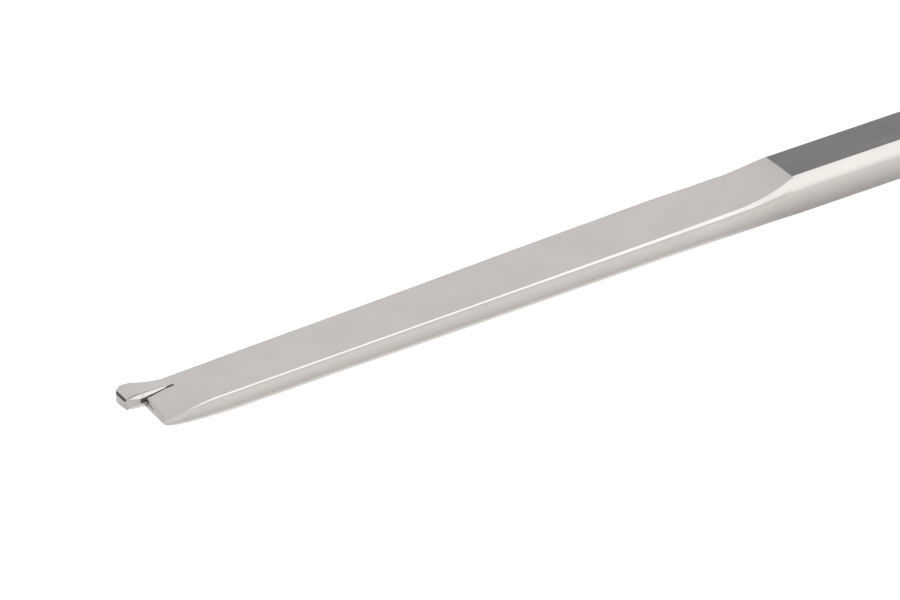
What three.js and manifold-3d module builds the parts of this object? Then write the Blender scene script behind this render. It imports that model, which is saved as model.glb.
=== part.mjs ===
// Tyre lever: a forged bar with a ground blade and a mounting finger, and a handle on its through tang
// that ends in a hang ring.
// Millimetres. X runs along the lever from the finger to the ring, Y across the blade to the finger's side
// and Z up out of its flat.
import * as THREE from 'three';
import { mergeVertices } from 'three/addons/utils/BufferGeometryUtils.js';
import Module from 'manifold-3d';

const wasm = await Module();
wasm.setup();

// Fits
const seatGap = 0.3; // between two faces that seat on each other
const slipFit = 0.3; // between a hole and what passes through it, on the radius
const pocketFit = 0.3; // around a pad in its pocket

// Round bar and its marked flat
const barRadius = 10;
const barLength = 201; // from the shoulder to the handle
const markedFlatHeight = 7.55; // above the bar's axis
const markedFlatLength = 96;
const markedFlatRunOut = 9;

// Blade
const bladeLength = 221.5; // from the end edge to the shoulder
const flatHeightAtEnd = 0;
const flatHeightAtShoulder = 4.3;
const rampLength = 21;
const halfWidthAtEnd = 8.6;
const halfWidthAtShoulder = 9.95;
const bladeCornerRadius = 10.35; // the ramp's corners run out on this circle
const partingDrop = 0.95; // the forging's parting line lies this far under the flat
const partingDropAtEnd = 0.12;
const partingProud = 0.12;
const undersideDepth = 10;
const undersideSag = 0.5; // extra depth at the end
const noseLength = 20;
const noseDepth = 0.5; // left under the end edge
const tipDipLength = 16.5;
const tipDipNear = 2.6;
const tipDipFar = 0.5;
const tipDipPower = 1.25; // 1 is a straight fall and 2 a round one
const blendLength = 6; // from the blade's section to the bar's

// Mounting finger
const fingerReach = 7.5; // of its near corner, past the blade's end edge
const fingerRise = 2.2; // above the flat
const fingerFullLength = 3; // at its full height
const fingerRiseLength = 13;
const fingerUnderside = -2.1;
const fingerUndersideFall = 1.1; // deeper at the blade's end edge
const fingerNearStart = 1.9; // distance from the middle plane at the finger's end
const fingerAngle = THREE.MathUtils.degToRad(9.4); // between its near side and the lever's axis
const fingerNearRadius = 0.6;
const fingerFarRadius = 2.6;
const fingerRootLength = 13; // carried along the blade
const fingerRootDepth = 1; // sunk into the blade

// Tang
const tangRadius = 7;
const tangFlatAcross = 11.5;
const tangThreadRadius = 6;
const tangThreadStart = 1; // inside the handle core's rear face

// Bolster and its pin
const bolsterLength = 13;
const bolsterRadius = 14;
const bolsterChamfer = 2.4;
const bolsterPinPlace = 5.5; // behind the bolster's front face
const bolsterPinRadius = 2;
const bolsterPinWall = 0.7;
const bolsterPinSlot = 0.7;
const bolsterPinInset = 0.4;
const sealWireRadius = 0.9;
const sealRadius = 10;

// Handle core
const gripLength = 108; // between the guards
const gripSide = 27;
const gripCorner = 7.5;
const guardSide = 32;
const guardCorner = 9;
const guardBevel = 1.5;
const frontGuardLength = 8;
const rearGuardLength = 10;

// Grip pads
const padLength = 92;
const padWidth = 13;
const padCorner = 5;
const padPocketDepth = 2;
const padProud = 0.8;
const padGrooveCount = 9;
const padGrooveWidth = 2.2;
const padGrooveDepth = 1.1;
const padGroovePitch = 8.5;

// Clamping stack at the tang's end
const washerRadius = 11.5;
const washerThickness = 2;
const discSpringRadius = 11;
const discSpringThickness = 1.2;
const discSpringCone = 0.9;
const clampNutAcross = 19;
const clampNutHeight = 6;

// End cap
const capRadius = 14.5;
const capWall = 2.6; // around the cavity for the stack
const capThreadLength = 9;
const capEndWall = 2; // behind the tang's end
const capRearChamfer = 3.5;
const capFrontChamfer = 0.8;
const setScrewRadius = 2.5;
const setScrewLength = 6.5;
const setScrewSocketAcross = 2.5;
const setScrewSocketDepth = 2.5;

// Ring lug, pin and clip
const lugHeight = 12;
const lugThickness = 13;
const lugSlot = 5.2;
const lugReach = 8.5; // from the cap to the pin
const ringPinRadius = 2.5;
const ringPinHeadRadius = 4;
const ringPinHeadHeight = 1.8;
const ringPinTail = 1.6; // past the clip
const clipThickness = 0.8;
const clipRadius = 4.6;
const clipGrooveDepth = 0.6;
const clipOpening = 3.2;

// Hang ring
const ringWireRadius = 2.1;
const ringRadius = 15;
const ringEyeRadius = 4.6;
const ringEyeWidth = 4.4;
const ringLugClearance = 1.5; // between the lug's round end and the ring's wire

// Stations along the lever
const bladeEndX = fingerReach;
const shoulderX = bladeEndX + bladeLength;
const handleX = shoulderX + barLength;
const markedFlatEndX = shoulderX + markedFlatLength;

// Stations along the handle
const bolsterX = handleX + seatGap;
const bolsterPinX = bolsterX + bolsterPinPlace;
const coreX = bolsterX + bolsterLength + seatGap;
const coreLength = frontGuardLength + gripLength + rearGuardLength;
const coreEndX = coreX + coreLength;
const gripMidX = coreX + frontGuardLength + gripLength / 2;
const washerX = coreEndX + seatGap;
const discSpringX = washerX + washerThickness + seatGap;
const discSpringHeight = discSpringThickness + discSpringCone;
const clampNutX = discSpringX + discSpringHeight + seatGap;
const capX = coreEndX + seatGap;
const capCavityLength = clampNutX + clampNutHeight + seatGap - capX;
const capLength = capCavityLength + capThreadLength + seatGap + capEndWall;
const tangThreadX = coreEndX - tangThreadStart;
const tangEndX = capX + capCavityLength + capThreadLength;
const setScrewX = capX + capCavityLength + capThreadLength / 2;
const ringPinX = capX + capLength + lugReach;

// The ring's middle lies this far behind its pin, and a loose ring droops until it meets the bench
const ringCentre = lugHeight / 2 + ringLugClearance + ringWireRadius + ringRadius;
const ringDroop = Math.asin((guardSide / 2 - ringWireRadius - seatGap) / (ringCentre + ringRadius));

// Sides of round forms
const roundSegments = 40;
const pinSegments = 24;
const smallSegments = 16;
const wireSegments = 12;
const arcSegments = 6;

const joinLap = 1; // how far two forms of one piece run into each other
const mergeTolerance = 1e-4;

// A geometry as a solid for cutting and joining
function solid(geometry) {
  const bare = geometry.clone();
  bare.deleteAttribute('normal');
  bare.deleteAttribute('uv');
  const merged = mergeVertices(bare, mergeTolerance);
  const vertProperties = new Float32Array(merged.attributes.position.array);
  const triVerts = new Uint32Array(merged.index.array);
  return new wasm.Manifold(new wasm.Mesh({ numProp: 3, vertProperties, triVerts }));
}

// A cut or joined solid as a geometry again
function shapeOf(manifold) {
  const mesh = manifold.getMesh();
  const geometry = new THREE.BufferGeometry();
  geometry.setAttribute('position', new THREE.BufferAttribute(mesh.vertProperties, 3));
  geometry.setIndex(new THREE.BufferAttribute(mesh.triVerts, 1));
  return geometry;
}

function joined(...geometries) {
  return shapeOf(geometries.map(solid).reduce((body, next) => body.add(next)));
}

function cut(geometry, ...tools) {
  return shapeOf(tools.map(solid).reduce((body, tool) => body.subtract(tool), solid(geometry)));
}

function common(a, b) {
  return shapeOf(solid(a).intersect(solid(b)));
}

// A turned piece about the X axis, from a closed profile of [x, radius] points
function turned(profile, segments = roundSegments) {
  const points = profile.map(([x, radius]) => new THREE.Vector2(radius, x));
  const forward = THREE.ShapeUtils.area(points) > 0;
  const loop = forward ? points : points.reverse();
  return new THREE.LatheGeometry([...loop, loop[0].clone()], segments).rotateZ(-Math.PI / 2);
}

// A round bar from one x to another
function rod(fromX, toX, radius, segments = roundSegments) {
  return new THREE.CylinderGeometry(radius, radius, toX - fromX, segments)
    .rotateZ(-Math.PI / 2)
    .translate((fromX + toX) / 2, 0, 0);
}

// A round bar across the lever, centred on its middle plane
function crossRod(x, length, radius, segments = pinSegments) {
  return new THREE.CylinderGeometry(radius, radius, length, segments).translate(x, 0, 0);
}

// An outline in Y and Z, drawn out along X
function drawnAlongX(shape, fromX, toX, bevel = 0) {
  const options = {
    depth: toX - fromX - 2 * bevel,
    curveSegments: arcSegments,
    bevelEnabled: bevel > 0,
    bevelThickness: bevel,
    bevelSize: bevel,
    bevelOffset: -bevel,
    bevelSegments: 1,
  };
  const basis = new THREE.Matrix4().makeBasis(
    new THREE.Vector3(0, 1, 0), new THREE.Vector3(0, 0, 1), new THREE.Vector3(1, 0, 0));
  return new THREE.ExtrudeGeometry(shape, options).applyMatrix4(basis).translate(fromX + bevel, 0, 0);
}

// An outline in X and Y, drawn upwards from z = 0
function drawnUp(shape, height) {
  return new THREE.ExtrudeGeometry(shape, { depth: height, bevelEnabled: false, curveSegments: arcSegments });
}

// An outline in X and Z, drawn out across the lever between two distances from the middle plane
function drawnAlongY(shape, fromY, toY) {
  const options = { depth: toY - fromY, curveSegments: arcSegments, bevelEnabled: false };
  const basis = new THREE.Matrix4().makeBasis(
    new THREE.Vector3(1, 0, 0), new THREE.Vector3(0, 0, 1), new THREE.Vector3(0, -1, 0));
  return new THREE.ExtrudeGeometry(shape, options).applyMatrix4(basis).translate(0, toY, 0);
}

function roundedRectangle(width, height, radius) {
  const [w, h] = [width / 2 - radius, height / 2 - radius];
  const shape = new THREE.Shape();
  shape.absarc(w, -h, radius, -Math.PI / 2, 0);
  shape.absarc(w, h, radius, 0, Math.PI / 2);
  shape.absarc(-w, h, radius, Math.PI / 2, Math.PI);
  shape.absarc(-w, -h, radius, Math.PI, 1.5 * Math.PI);
  return shape;
}

function hexagon(across) {
  const shape = new THREE.Shape();
  const radius = across / Math.sqrt(3);
  const corner = (side) => [radius * Math.cos(side * Math.PI / 3), radius * Math.sin(side * Math.PI / 3)];
  shape.moveTo(...corner(0));
  [1, 2, 3, 4, 5].forEach((side) => shape.lineTo(...corner(side)));
  return shape;
}

// The tang's outline, a circle with two flats, grown by a clearance
function tangOutline(clearance) {
  const radius = tangRadius + clearance;
  const half = Math.asin((tangFlatAcross / 2 + clearance) / radius);
  const shape = new THREE.Shape();
  shape.absarc(0, 0, radius, -half, half);
  shape.absarc(0, 0, radius, Math.PI - half, Math.PI + half);
  return shape;
}

const mix = THREE.MathUtils.lerp;
const clamp = THREE.MathUtils.clamp;
const smooth = (x, from, to) => THREE.MathUtils.smoothstep(x, from, to);

// Height of the blade's flat, carried on as a straight line over its whole length
const flatLine = (x) => mix(flatHeightAtEnd, flatHeightAtShoulder, (x - bladeEndX) / bladeLength);

// Height of the flat with its ramp, a cutter's arc that climbs to the marked flat at the shoulder
function flatHeight(x) {
  const climb = markedFlatHeight - flatHeightAtShoulder;
  const arcRadius = (rampLength ** 2 + climb ** 2) / (2 * climb);
  const along = Math.max(0, x - (shoulderX - rampLength));
  return flatLine(x) + arcRadius - Math.sqrt(arcRadius ** 2 - along ** 2);
}

// How far the flat falls towards the blade's end edge at its near or far corner
function tipDip(x, depth) {
  const share = clamp((bladeEndX + tipDipLength - x) / tipDipLength, 0, 1);
  return depth * share ** tipDipPower;
}

// Height of the underside's middle, which rises to the end edge on a quarter ellipse
function undersideHeight(x) {
  const alongBlade = clamp((x - bladeEndX) / bladeLength, 0, 1);
  const full = -undersideDepth - undersideSag * (1 - alongBlade);
  const share = clamp((bladeEndX + noseLength - x) / noseLength, 0, 1);
  const edge = flatLine(x) - tipDip(x, tipDipNear) - noseDepth;
  return mix(edge, full, Math.sqrt(1 - share ** 2));
}

const bladeHalfWidth = (x) => mix(halfWidthAtEnd, halfWidthAtShoulder, (x - bladeEndX) / bladeLength);

// Points around an outline: over the top, down each side and under
const topPoints = 8;
const sidePoints = 3;
const underPoints = 24;
const fingerTopSteps = 16;
const sectionPoints = topPoints + 2 * sidePoints + underPoints;

// The blade's outline at x: across the flat from the far corner, down the near side and under to the far one
function bladeOutline(x) {
  const height = flatHeight(Math.min(x, shoulderX));
  const width = Math.min(bladeHalfWidth(x), Math.sqrt(bladeCornerRadius ** 2 - height ** 2));
  const near = height - tipDip(x, tipDipNear);
  const far = height - tipDip(x, tipDipFar);
  const bottom = undersideHeight(x);
  const fullParting = flatLine(x) - partingDrop;
  const parting = mix(fullParting, near - partingDropAtEnd, tipDip(x, 1));
  const partingWidth = bladeHalfWidth(x) + partingProud;
  const outline = [];
  for (let i = 0; i < topPoints; i += 1) {
    const s = i / topPoints;
    outline.push([mix(width, -width, s), mix(far, near, s)]);
  }
  for (let i = 0; i < sidePoints; i += 1) {
    outline.push([-mix(width, partingWidth, i / sidePoints), mix(near, parting, i / sidePoints)]);
  }
  for (let i = 0; i < underPoints; i += 1) {
    const angle = Math.PI * i / underPoints;
    outline.push([-partingWidth * Math.cos(angle), parting - (parting - bottom) * Math.sin(angle)]);
  }
  for (let i = 0; i < sidePoints; i += 1) {
    outline.push([mix(partingWidth, width, i / sidePoints), mix(parting, far, i / sidePoints)]);
  }
  return outline;
}

// The round bar's outline at x, with the marked flat cut across its top and running out at its end
function barOutline(x) {
  const flat = Math.min(flatHeight(Math.min(x, shoulderX)), markedFlatHeight);
  const runOut = clamp((x - markedFlatEndX) / markedFlatRunOut, 0, 1);
  const topHeight = mix(flat, barRadius, runOut);
  const corner = Math.acos(flat / barRadius);
  const parting = Math.acos((flatLine(shoulderX) - partingDrop) / barRadius);
  const arc = (angle) => [-barRadius * Math.sin(angle), barRadius * Math.cos(angle)];
  const outline = [];
  for (let i = 0; i < topPoints; i += 1) {
    const [y] = arc(mix(-corner, corner, i / topPoints));
    outline.push([y, Math.min(topHeight, Math.sqrt(barRadius ** 2 - y ** 2))]);
  }
  for (let i = 0; i < sidePoints; i += 1) outline.push(arc(mix(corner, parting, i / sidePoints)));
  for (let i = 0; i < underPoints; i += 1) {
    outline.push(arc(mix(parting, 2 * Math.PI - parting, i / underPoints)));
  }
  for (let i = 0; i < sidePoints; i += 1) {
    outline.push(arc(2 * Math.PI - mix(parting, corner, i / sidePoints)));
  }
  return outline;
}

function leverOutline(x) {
  const share = smooth(x, shoulderX - blendLength, shoulderX);
  const bar = barOutline(x);
  return bladeOutline(x).map(([y, z], i) => [mix(y, bar[i][0], share), mix(z, bar[i][1], share)]);
}

// Evenly spaced stations from one x up to, but without, the next
function stations(from, to, count) {
  return Array.from({ length: count }, (_, i) => mix(from, to, i / count));
}

// The blade and bar as one body, whose outline changes from station to station.
// A cylinder of unit radius and height gives the mesh, and each of its points moves to an outline.
function leverBody() {
  const stretches = [
    [bladeEndX, bladeEndX + noseLength, 12],
    [bladeEndX + noseLength, shoulderX - rampLength, 6],
    [shoulderX - rampLength, shoulderX - blendLength, 5],
    [shoulderX - blendLength, shoulderX, 4],
    [shoulderX, markedFlatEndX, 2],
    [markedFlatEndX, markedFlatEndX + markedFlatRunOut, 4],
    [markedFlatEndX + markedFlatRunOut, handleX, 1],
  ];
  const line = [...stretches.flatMap((stretch) => stations(...stretch)), handleX];
  const outlines = line.map(leverOutline);
  const body = new THREE.CylinderGeometry(1, 1, 1, sectionPoints, line.length - 1);
  body.deleteAttribute('normal');
  body.deleteAttribute('uv');
  const merged = mergeVertices(body, mergeTolerance);
  const place = merged.attributes.position;
  for (let i = 0; i < place.count; i += 1) {
    const station = Math.round((place.getY(i) + 0.5) * (line.length - 1));
    const onAxis = Math.hypot(place.getX(i), place.getZ(i)) < 0.5;
    const turn = Math.atan2(place.getX(i), place.getZ(i)) / (2 * Math.PI);
    const point = (Math.round(turn * sectionPoints) + sectionPoints) % sectionPoints;
    const outline = outlines[station];
    const middle = [0, (outline[0][1] + outline[topPoints][1]) / 2 - noseDepth / 2];
    const [y, z] = onAxis ? middle : outline[point];
    place.setXYZ(i, line[station], y, z);
  }
  return merged;
}

// Height of the finger's top, which swells up out of the flat
const fingerTop = (x) => flatLine(x) - tipDip(x, tipDipFar)
  + (fingerRise + tipDipFar) * (1 - smooth(x, fingerFullLength, fingerFullLength + fingerRiseLength));

// The finger's outline from above. Its end face stands square to its near side.
function fingerPlan(rootX) {
  const [along, across] = [Math.sin(fingerAngle), Math.cos(fingerAngle)];
  const nearY = (x) => fingerNearStart + x * along / across;
  const farY = bladeHalfWidth(bladeEndX) - fingerFarRadius;
  const face = (farY - fingerNearStart - fingerFarRadius * along) / across;
  const farX = fingerFarRadius * across - face * along;
  const nearX = fingerNearRadius * (across - along);
  const plan = new THREE.Shape();
  plan.moveTo(rootX, nearY(rootX));
  plan.lineTo(rootX, bladeHalfWidth(rootX));
  plan.absarc(farX, farY, fingerFarRadius, Math.PI / 2, Math.PI + fingerAngle);
  plan.absarc(nearX, fingerNearStart + fingerNearRadius * (across + along), fingerNearRadius,
    Math.PI + fingerAngle, 1.5 * Math.PI + fingerAngle);
  return plan;
}

// The finger's outline from the side
function fingerSide(rootX) {
  const side = new THREE.Shape();
  side.moveTo(-fingerFarRadius, fingerUnderside);
  side.lineTo(0, fingerUnderside);
  side.lineTo(bladeEndX, fingerUnderside - fingerUndersideFall);
  side.lineTo(rootX, flatLine(rootX) - tipDipNear - fingerRootDepth);
  side.lineTo(rootX, flatLine(rootX) - tipDipNear);
  stations(rootX, 0, fingerTopSteps).slice(1).forEach((x) => side.lineTo(x, fingerTop(x)));
  side.lineTo(-fingerFarRadius, fingerTop(0));
  return side;
}

function finger() {
  const rootX = bladeEndX + fingerRootLength;
  const planSolid = drawnUp(fingerPlan(rootX), 2 * undersideDepth).translate(0, 0, -undersideDepth);
  return common(planSolid, drawnAlongY(fingerSide(rootX), -halfWidthAtShoulder, halfWidthAtShoulder));
}

function leverBar() {
  const tang = drawnAlongX(tangOutline(0), handleX - joinLap, tangThreadX);
  const thread = rod(tangThreadX - joinLap, tangEndX, tangThreadRadius);
  const pinHole = crossRod(bolsterPinX, 4 * tangRadius, bolsterPinRadius + slipFit);
  return cut(joined(leverBody(), finger(), tang, thread), pinHole);
}

function bolster() {
  const bore = tangRadius + slipFit;
  const grooveDepth = 2 * sealWireRadius + seatGap;
  const grooveIn = sealRadius - sealWireRadius - slipFit;
  const grooveOut = sealRadius + sealWireRadius + slipFit;
  const body = turned([
    [0, bore],
    [0, bolsterRadius - bolsterChamfer],
    [bolsterChamfer, bolsterRadius],
    [bolsterLength, bolsterRadius],
    [bolsterLength, grooveOut],
    [bolsterLength - grooveDepth, grooveOut],
    [bolsterLength - grooveDepth, grooveIn],
    [bolsterLength, grooveIn],
    [bolsterLength, bore],
  ]);
  return cut(body, crossRod(bolsterPinX - bolsterX, 4 * bolsterRadius, bolsterPinRadius + slipFit));
}

// A rolled spring pin with its slot
function bolsterPin() {
  const length = 2 * (bolsterRadius - bolsterPinInset);
  const bore = crossRod(0, 2 * length, bolsterPinRadius - bolsterPinWall);
  const slot = new THREE.BoxGeometry(bolsterPinSlot, 2 * length, 2 * bolsterPinRadius);
  slot.translate(0, 0, bolsterPinRadius);
  return cut(crossRod(0, length, bolsterPinRadius), bore, slot);
}

function sealRing() {
  const ring = new THREE.TorusGeometry(sealRadius, sealWireRadius, wireSegments, roundSegments);
  return ring.rotateY(Math.PI / 2);
}

const padSeat = gripSide / 2 - padPocketDepth; // from the axis to a pad's back, without its gap

// The pocket for the pad on one side of the grip, counted in quarter turns
function padPocket(quarter) {
  const length = padLength + 2 * pocketFit;
  const width = padWidth + 2 * pocketFit;
  return drawnUp(roundedRectangle(length, width, padCorner + pocketFit), gripSide)
    .translate(gripMidX - coreX, 0, padSeat - pocketFit)
    .rotateX(quarter * Math.PI / 2);
}

function handleCore() {
  const guard = roundedRectangle(guardSide, guardSide, guardCorner);
  const grip = roundedRectangle(gripSide, gripSide, gripCorner);
  const front = drawnAlongX(guard, 0, frontGuardLength, guardBevel);
  const middle = drawnAlongX(grip, frontGuardLength / 2, coreLength - rearGuardLength / 2);
  const rear = drawnAlongX(guard, coreLength - rearGuardLength, coreLength, guardBevel);
  const bore = drawnAlongX(tangOutline(slipFit), -joinLap, coreLength + joinLap);
  return cut(joined(front, middle, rear), bore, ...[0, 1, 2, 3].map(padPocket));
}

// A soft pad with grooves across it, lying on its back at z = 0
function gripPad() {
  const thickness = padPocketDepth + padProud;
  const pad = drawnUp(roundedRectangle(padLength, padWidth, padCorner), thickness);
  const grooves = Array.from({ length: padGrooveCount }, (_, i) => {
    const x = (i - (padGrooveCount - 1) / 2) * padGroovePitch;
    const groove = new THREE.BoxGeometry(padGrooveWidth, 2 * padWidth, 2 * padGrooveDepth);
    return groove.translate(x, 0, thickness);
  });
  return cut(pad, ...grooves);
}

function thrustWasher() {
  const bore = tangThreadRadius + slipFit;
  return turned([[0, bore], [0, washerRadius], [washerThickness, washerRadius], [washerThickness, bore]]);
}

function discSpring() {
  const bore = tangThreadRadius + slipFit;
  return turned([
    [0, discSpringRadius],
    [discSpringThickness, discSpringRadius],
    [discSpringHeight, bore],
    [discSpringCone, bore],
  ]);
}

function clampNut() {
  const body = drawnAlongX(hexagon(clampNutAcross), 0, clampNutHeight);
  return cut(body, rod(-joinLap, clampNutHeight + joinLap, tangThreadRadius + slipFit));
}

function endCap() {
  const cavity = capRadius - capWall;
  const bore = tangThreadRadius + slipFit;
  const boreEnd = capCavityLength + capThreadLength + seatGap;
  const shell = turned([
    [capFrontChamfer, capRadius],
    [0, capRadius - capFrontChamfer],
    [0, cavity],
    [capCavityLength, cavity],
    [capCavityLength, bore],
    [boreEnd, bore],
    [boreEnd, 0],
    [capLength, 0],
    [capLength, capRadius - capRearChamfer],
    [capLength - capRearChamfer, capRadius],
  ]);
  const lugOutline = new THREE.Shape();
  lugOutline.moveTo(capLength - joinLap, -lugHeight / 2);
  lugOutline.absarc(capLength + lugReach, 0, lugHeight / 2, -Math.PI / 2, Math.PI / 2);
  lugOutline.lineTo(capLength - joinLap, lugHeight / 2);
  const lug = drawnAlongY(lugOutline, -lugThickness / 2, lugThickness / 2);
  const slotLength = lugReach + lugHeight;
  const slot = new THREE.BoxGeometry(slotLength, lugSlot, 2 * lugHeight);
  slot.translate(capLength + slotLength / 2, 0, 0);
  const pinHole = crossRod(capLength + lugReach, 2 * lugThickness, ringPinRadius + slipFit);
  const screwHoleRadius = setScrewRadius + slipFit;
  const screwHole = new THREE.CylinderGeometry(screwHoleRadius, screwHoleRadius, capRadius, smallSegments);
  screwHole.rotateX(Math.PI / 2).translate(setScrewX - capX, 0, (capRadius + tangThreadRadius) / 2);
  return cut(joined(shell, lug), slot, pinHole, screwHole);
}

// A grub screw with a hexagon socket, standing on its tip at z = 0
function setScrew() {
  const body = new THREE.CylinderGeometry(setScrewRadius, setScrewRadius, setScrewLength, smallSegments);
  body.rotateX(Math.PI / 2).translate(0, 0, setScrewLength / 2);
  const socket = drawnUp(hexagon(setScrewSocketAcross), setScrewLength);
  return cut(body, socket.translate(0, 0, setScrewLength - setScrewSocketDepth));
}

const clipSeatY = lugThickness / 2 + seatGap; // the clip's near face, from the middle plane

// A headed pin across the lug, with a groove for its clip
function ringPin() {
  const headY = -lugThickness / 2 - seatGap;
  const tailY = clipSeatY + clipThickness + seatGap + ringPinTail;
  const groove = ringPinRadius - clipGrooveDepth;
  const profile = [
    [headY - ringPinHeadHeight, 0],
    [headY - ringPinHeadHeight, ringPinHeadRadius],
    [headY, ringPinHeadRadius],
    [headY, ringPinRadius],
    [clipSeatY - seatGap, ringPinRadius],
    [clipSeatY - seatGap, groove],
    [clipSeatY + clipThickness + seatGap, groove],
    [clipSeatY + clipThickness + seatGap, ringPinRadius],
    [tailY, ringPinRadius],
    [tailY, 0],
  ];
  return turned(profile, pinSegments).rotateZ(Math.PI / 2);
}

// A snap clip that opens at its lower side
function pinClip() {
  const outer = crossRod(0, clipThickness, clipRadius);
  const bore = crossRod(0, 3 * clipThickness, ringPinRadius - clipGrooveDepth + slipFit);
  const opening = new THREE.BoxGeometry(clipOpening, 3 * clipThickness, 2 * clipRadius);
  return cut(outer, bore, opening.translate(0, 0, -clipRadius)).translate(0, clipThickness / 2, 0);
}

// The ring lies in the X-Y plane behind its eye, whose hole is at the origin
function hangRing() {
  const wire = new THREE.TorusGeometry(ringRadius, ringWireRadius, wireSegments, roundSegments);
  const eye = crossRod(0, ringEyeWidth, ringEyeRadius);
  const neck = rod(0, ringCentre - ringRadius, ringWireRadius, wireSegments);
  const hole = crossRod(0, 2 * ringEyeWidth, ringPinRadius + slipFit);
  return cut(joined(eye, neck, wire.translate(ringCentre, 0, 0)), hole);
}

const chrome = { color: 0xc9c9c6, roughness: 0.12, metalness: 1 };
const steel = { color: 0x9a9a98, roughness: 0.3, metalness: 1 };
const springSteel = { color: 0x5c5c60, roughness: 0.35, metalness: 1 };
const hardPlastic = { color: 0x1d1e20, roughness: 0.5, metalness: 0 };
const softGrip = { color: 0x33363a, roughness: 0.85, metalness: 0 };
const sealRubber = { color: 0x141414, roughness: 0.7, metalness: 0 };

// A named piece of the lever, placed by its own reference point
function piece(name, geometry, finish, x = 0, y = 0, z = 0) {
  const mesh = new THREE.Mesh(geometry, new THREE.MeshStandardMaterial(finish));
  mesh.name = name;
  mesh.position.set(x, y, z);
  return mesh;
}

const hangingRing = piece('hang_ring', hangRing(), steel, ringPinX);
hangingRing.rotation.y = ringDroop;

const assembly = new THREE.Group();
assembly.add(
  piece('lever_bar', leverBar(), chrome),
  piece('bolster', bolster(), steel, bolsterX),
  piece('bolster_pin', bolsterPin(), springSteel, bolsterPinX),
  piece('seal_ring', sealRing(), sealRubber, coreX - seatGap - sealWireRadius),
  piece('handle_core', handleCore(), hardPlastic, coreX),
  piece('thrust_washer', thrustWasher(), steel, washerX),
  piece('disc_spring', discSpring(), springSteel, discSpringX),
  piece('clamp_nut', clampNut(), steel, clampNutX),
  piece('end_cap', endCap(), steel, capX),
  piece('cap_set_screw', setScrew(), springSteel, setScrewX, 0, tangThreadRadius + seatGap),
  piece('ring_pin', ringPin(), steel, ringPinX),
  piece('pin_clip', pinClip(), springSteel, ringPinX, clipSeatY),
  hangingRing,
);

['top', 'near', 'bottom', 'far'].forEach((side, quarter) => {
  const seat = new THREE.Group();
  seat.rotation.x = quarter * Math.PI / 2;
  seat.add(piece(`grip_pad_${side}`, gripPad(), softGrip, gripMidX, 0, padSeat));
  assembly.add(seat);
});

// The frame's origin is the middle of the lever's box, on the plane that its handle stands on
const box = new THREE.Box3().setFromObject(assembly, true);
const middle = box.getCenter(new THREE.Vector3());
assembly.position.set(-middle.x, -middle.y, -box.min.z);

const lever = new THREE.Group();
lever.add(assembly);

export default lever;
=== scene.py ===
# %% [markdown]
# # A chromed tyre lever
# This lesson dresses a finished mechanical model in Blender. The lever is one long forging: a flat
# blade with a small raised finger at its tip, a round bar with a flat for markings, and a tang that
# carries the handle. The mechanical model gives every piece its real size and place. This script gives
# the pieces their fine shape and their finish. Each step says what the piece is, how it could be made,
# and why it is made so.

# %% Load the frame
import math

import bmesh
import bpy
import numpy as np
from mathutils import Matrix, Vector


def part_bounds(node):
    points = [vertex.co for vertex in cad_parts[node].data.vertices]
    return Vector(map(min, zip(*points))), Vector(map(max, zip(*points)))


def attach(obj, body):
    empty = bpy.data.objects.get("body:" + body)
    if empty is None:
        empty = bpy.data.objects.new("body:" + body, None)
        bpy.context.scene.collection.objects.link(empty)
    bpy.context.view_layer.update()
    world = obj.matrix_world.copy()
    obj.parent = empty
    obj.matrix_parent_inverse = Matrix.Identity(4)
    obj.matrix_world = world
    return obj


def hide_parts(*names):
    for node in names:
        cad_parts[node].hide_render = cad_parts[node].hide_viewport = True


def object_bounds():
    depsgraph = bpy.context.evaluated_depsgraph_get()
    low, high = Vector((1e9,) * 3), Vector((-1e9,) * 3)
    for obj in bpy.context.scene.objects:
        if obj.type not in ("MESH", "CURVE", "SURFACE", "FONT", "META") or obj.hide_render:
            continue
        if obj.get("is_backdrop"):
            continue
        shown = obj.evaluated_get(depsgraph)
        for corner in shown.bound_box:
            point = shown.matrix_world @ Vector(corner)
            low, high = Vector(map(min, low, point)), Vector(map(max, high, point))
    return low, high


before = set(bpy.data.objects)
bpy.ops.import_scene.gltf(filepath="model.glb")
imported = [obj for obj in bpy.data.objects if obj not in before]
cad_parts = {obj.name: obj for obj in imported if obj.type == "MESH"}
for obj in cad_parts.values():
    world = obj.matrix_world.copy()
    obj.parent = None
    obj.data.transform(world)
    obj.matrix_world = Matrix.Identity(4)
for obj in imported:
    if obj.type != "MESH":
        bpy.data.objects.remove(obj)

cad_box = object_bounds()

# %% [markdown]
# ## Reference marks
# The lever's own drawing starts at the tip, with x along the lever, y across the blade and z up from
# the bar's axis. Two measured boxes tie that drawing to the frame: the collar in front of the handle
# gives the place along the lever, and the handle's middle gives the height of the axis.

# %% Tie the drawing to the frame
MM = 0.001
COLLAR_X = 430.3  # the collar's front face, from the tip

collar_low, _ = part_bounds("bolster")
core_low, core_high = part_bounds("handle_core")
AXIS_Z = (core_low.z + core_high.z) / 2
TIP_X = collar_low.x - COLLAR_X * MM
ORIGIN = np.array([TIP_X, 0.0, AXIS_Z])
print("tip at x = %.1f mm, axis at z = %.1f mm" % (TIP_X / MM, AXIS_Z / MM))


def part_box(node):
    """A node's box in millimetres on the lever's drawing, as its low and its high corner."""
    low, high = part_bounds(node)
    return (np.array(low) - ORIGIN) / MM, (np.array(high) - ORIGIN) / MM


def middle_x(node):
    low, high = part_box(node)
    return (low[0] + high[0]) / 2


print("set screw and ring pin at", [round(middle_x(node), 1) for node in ("cap_set_screw", "ring_pin")])

# %% [markdown]
# ## Camera
# Tool makers show a long tool from above its side, so that the working face, the near edge and the bar
# are seen in one view. A long lens keeps the sides of the bar parallel. The camera is set by two angles
# and by how far the middle of the view lies from the shoulder where the blade ends.

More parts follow.
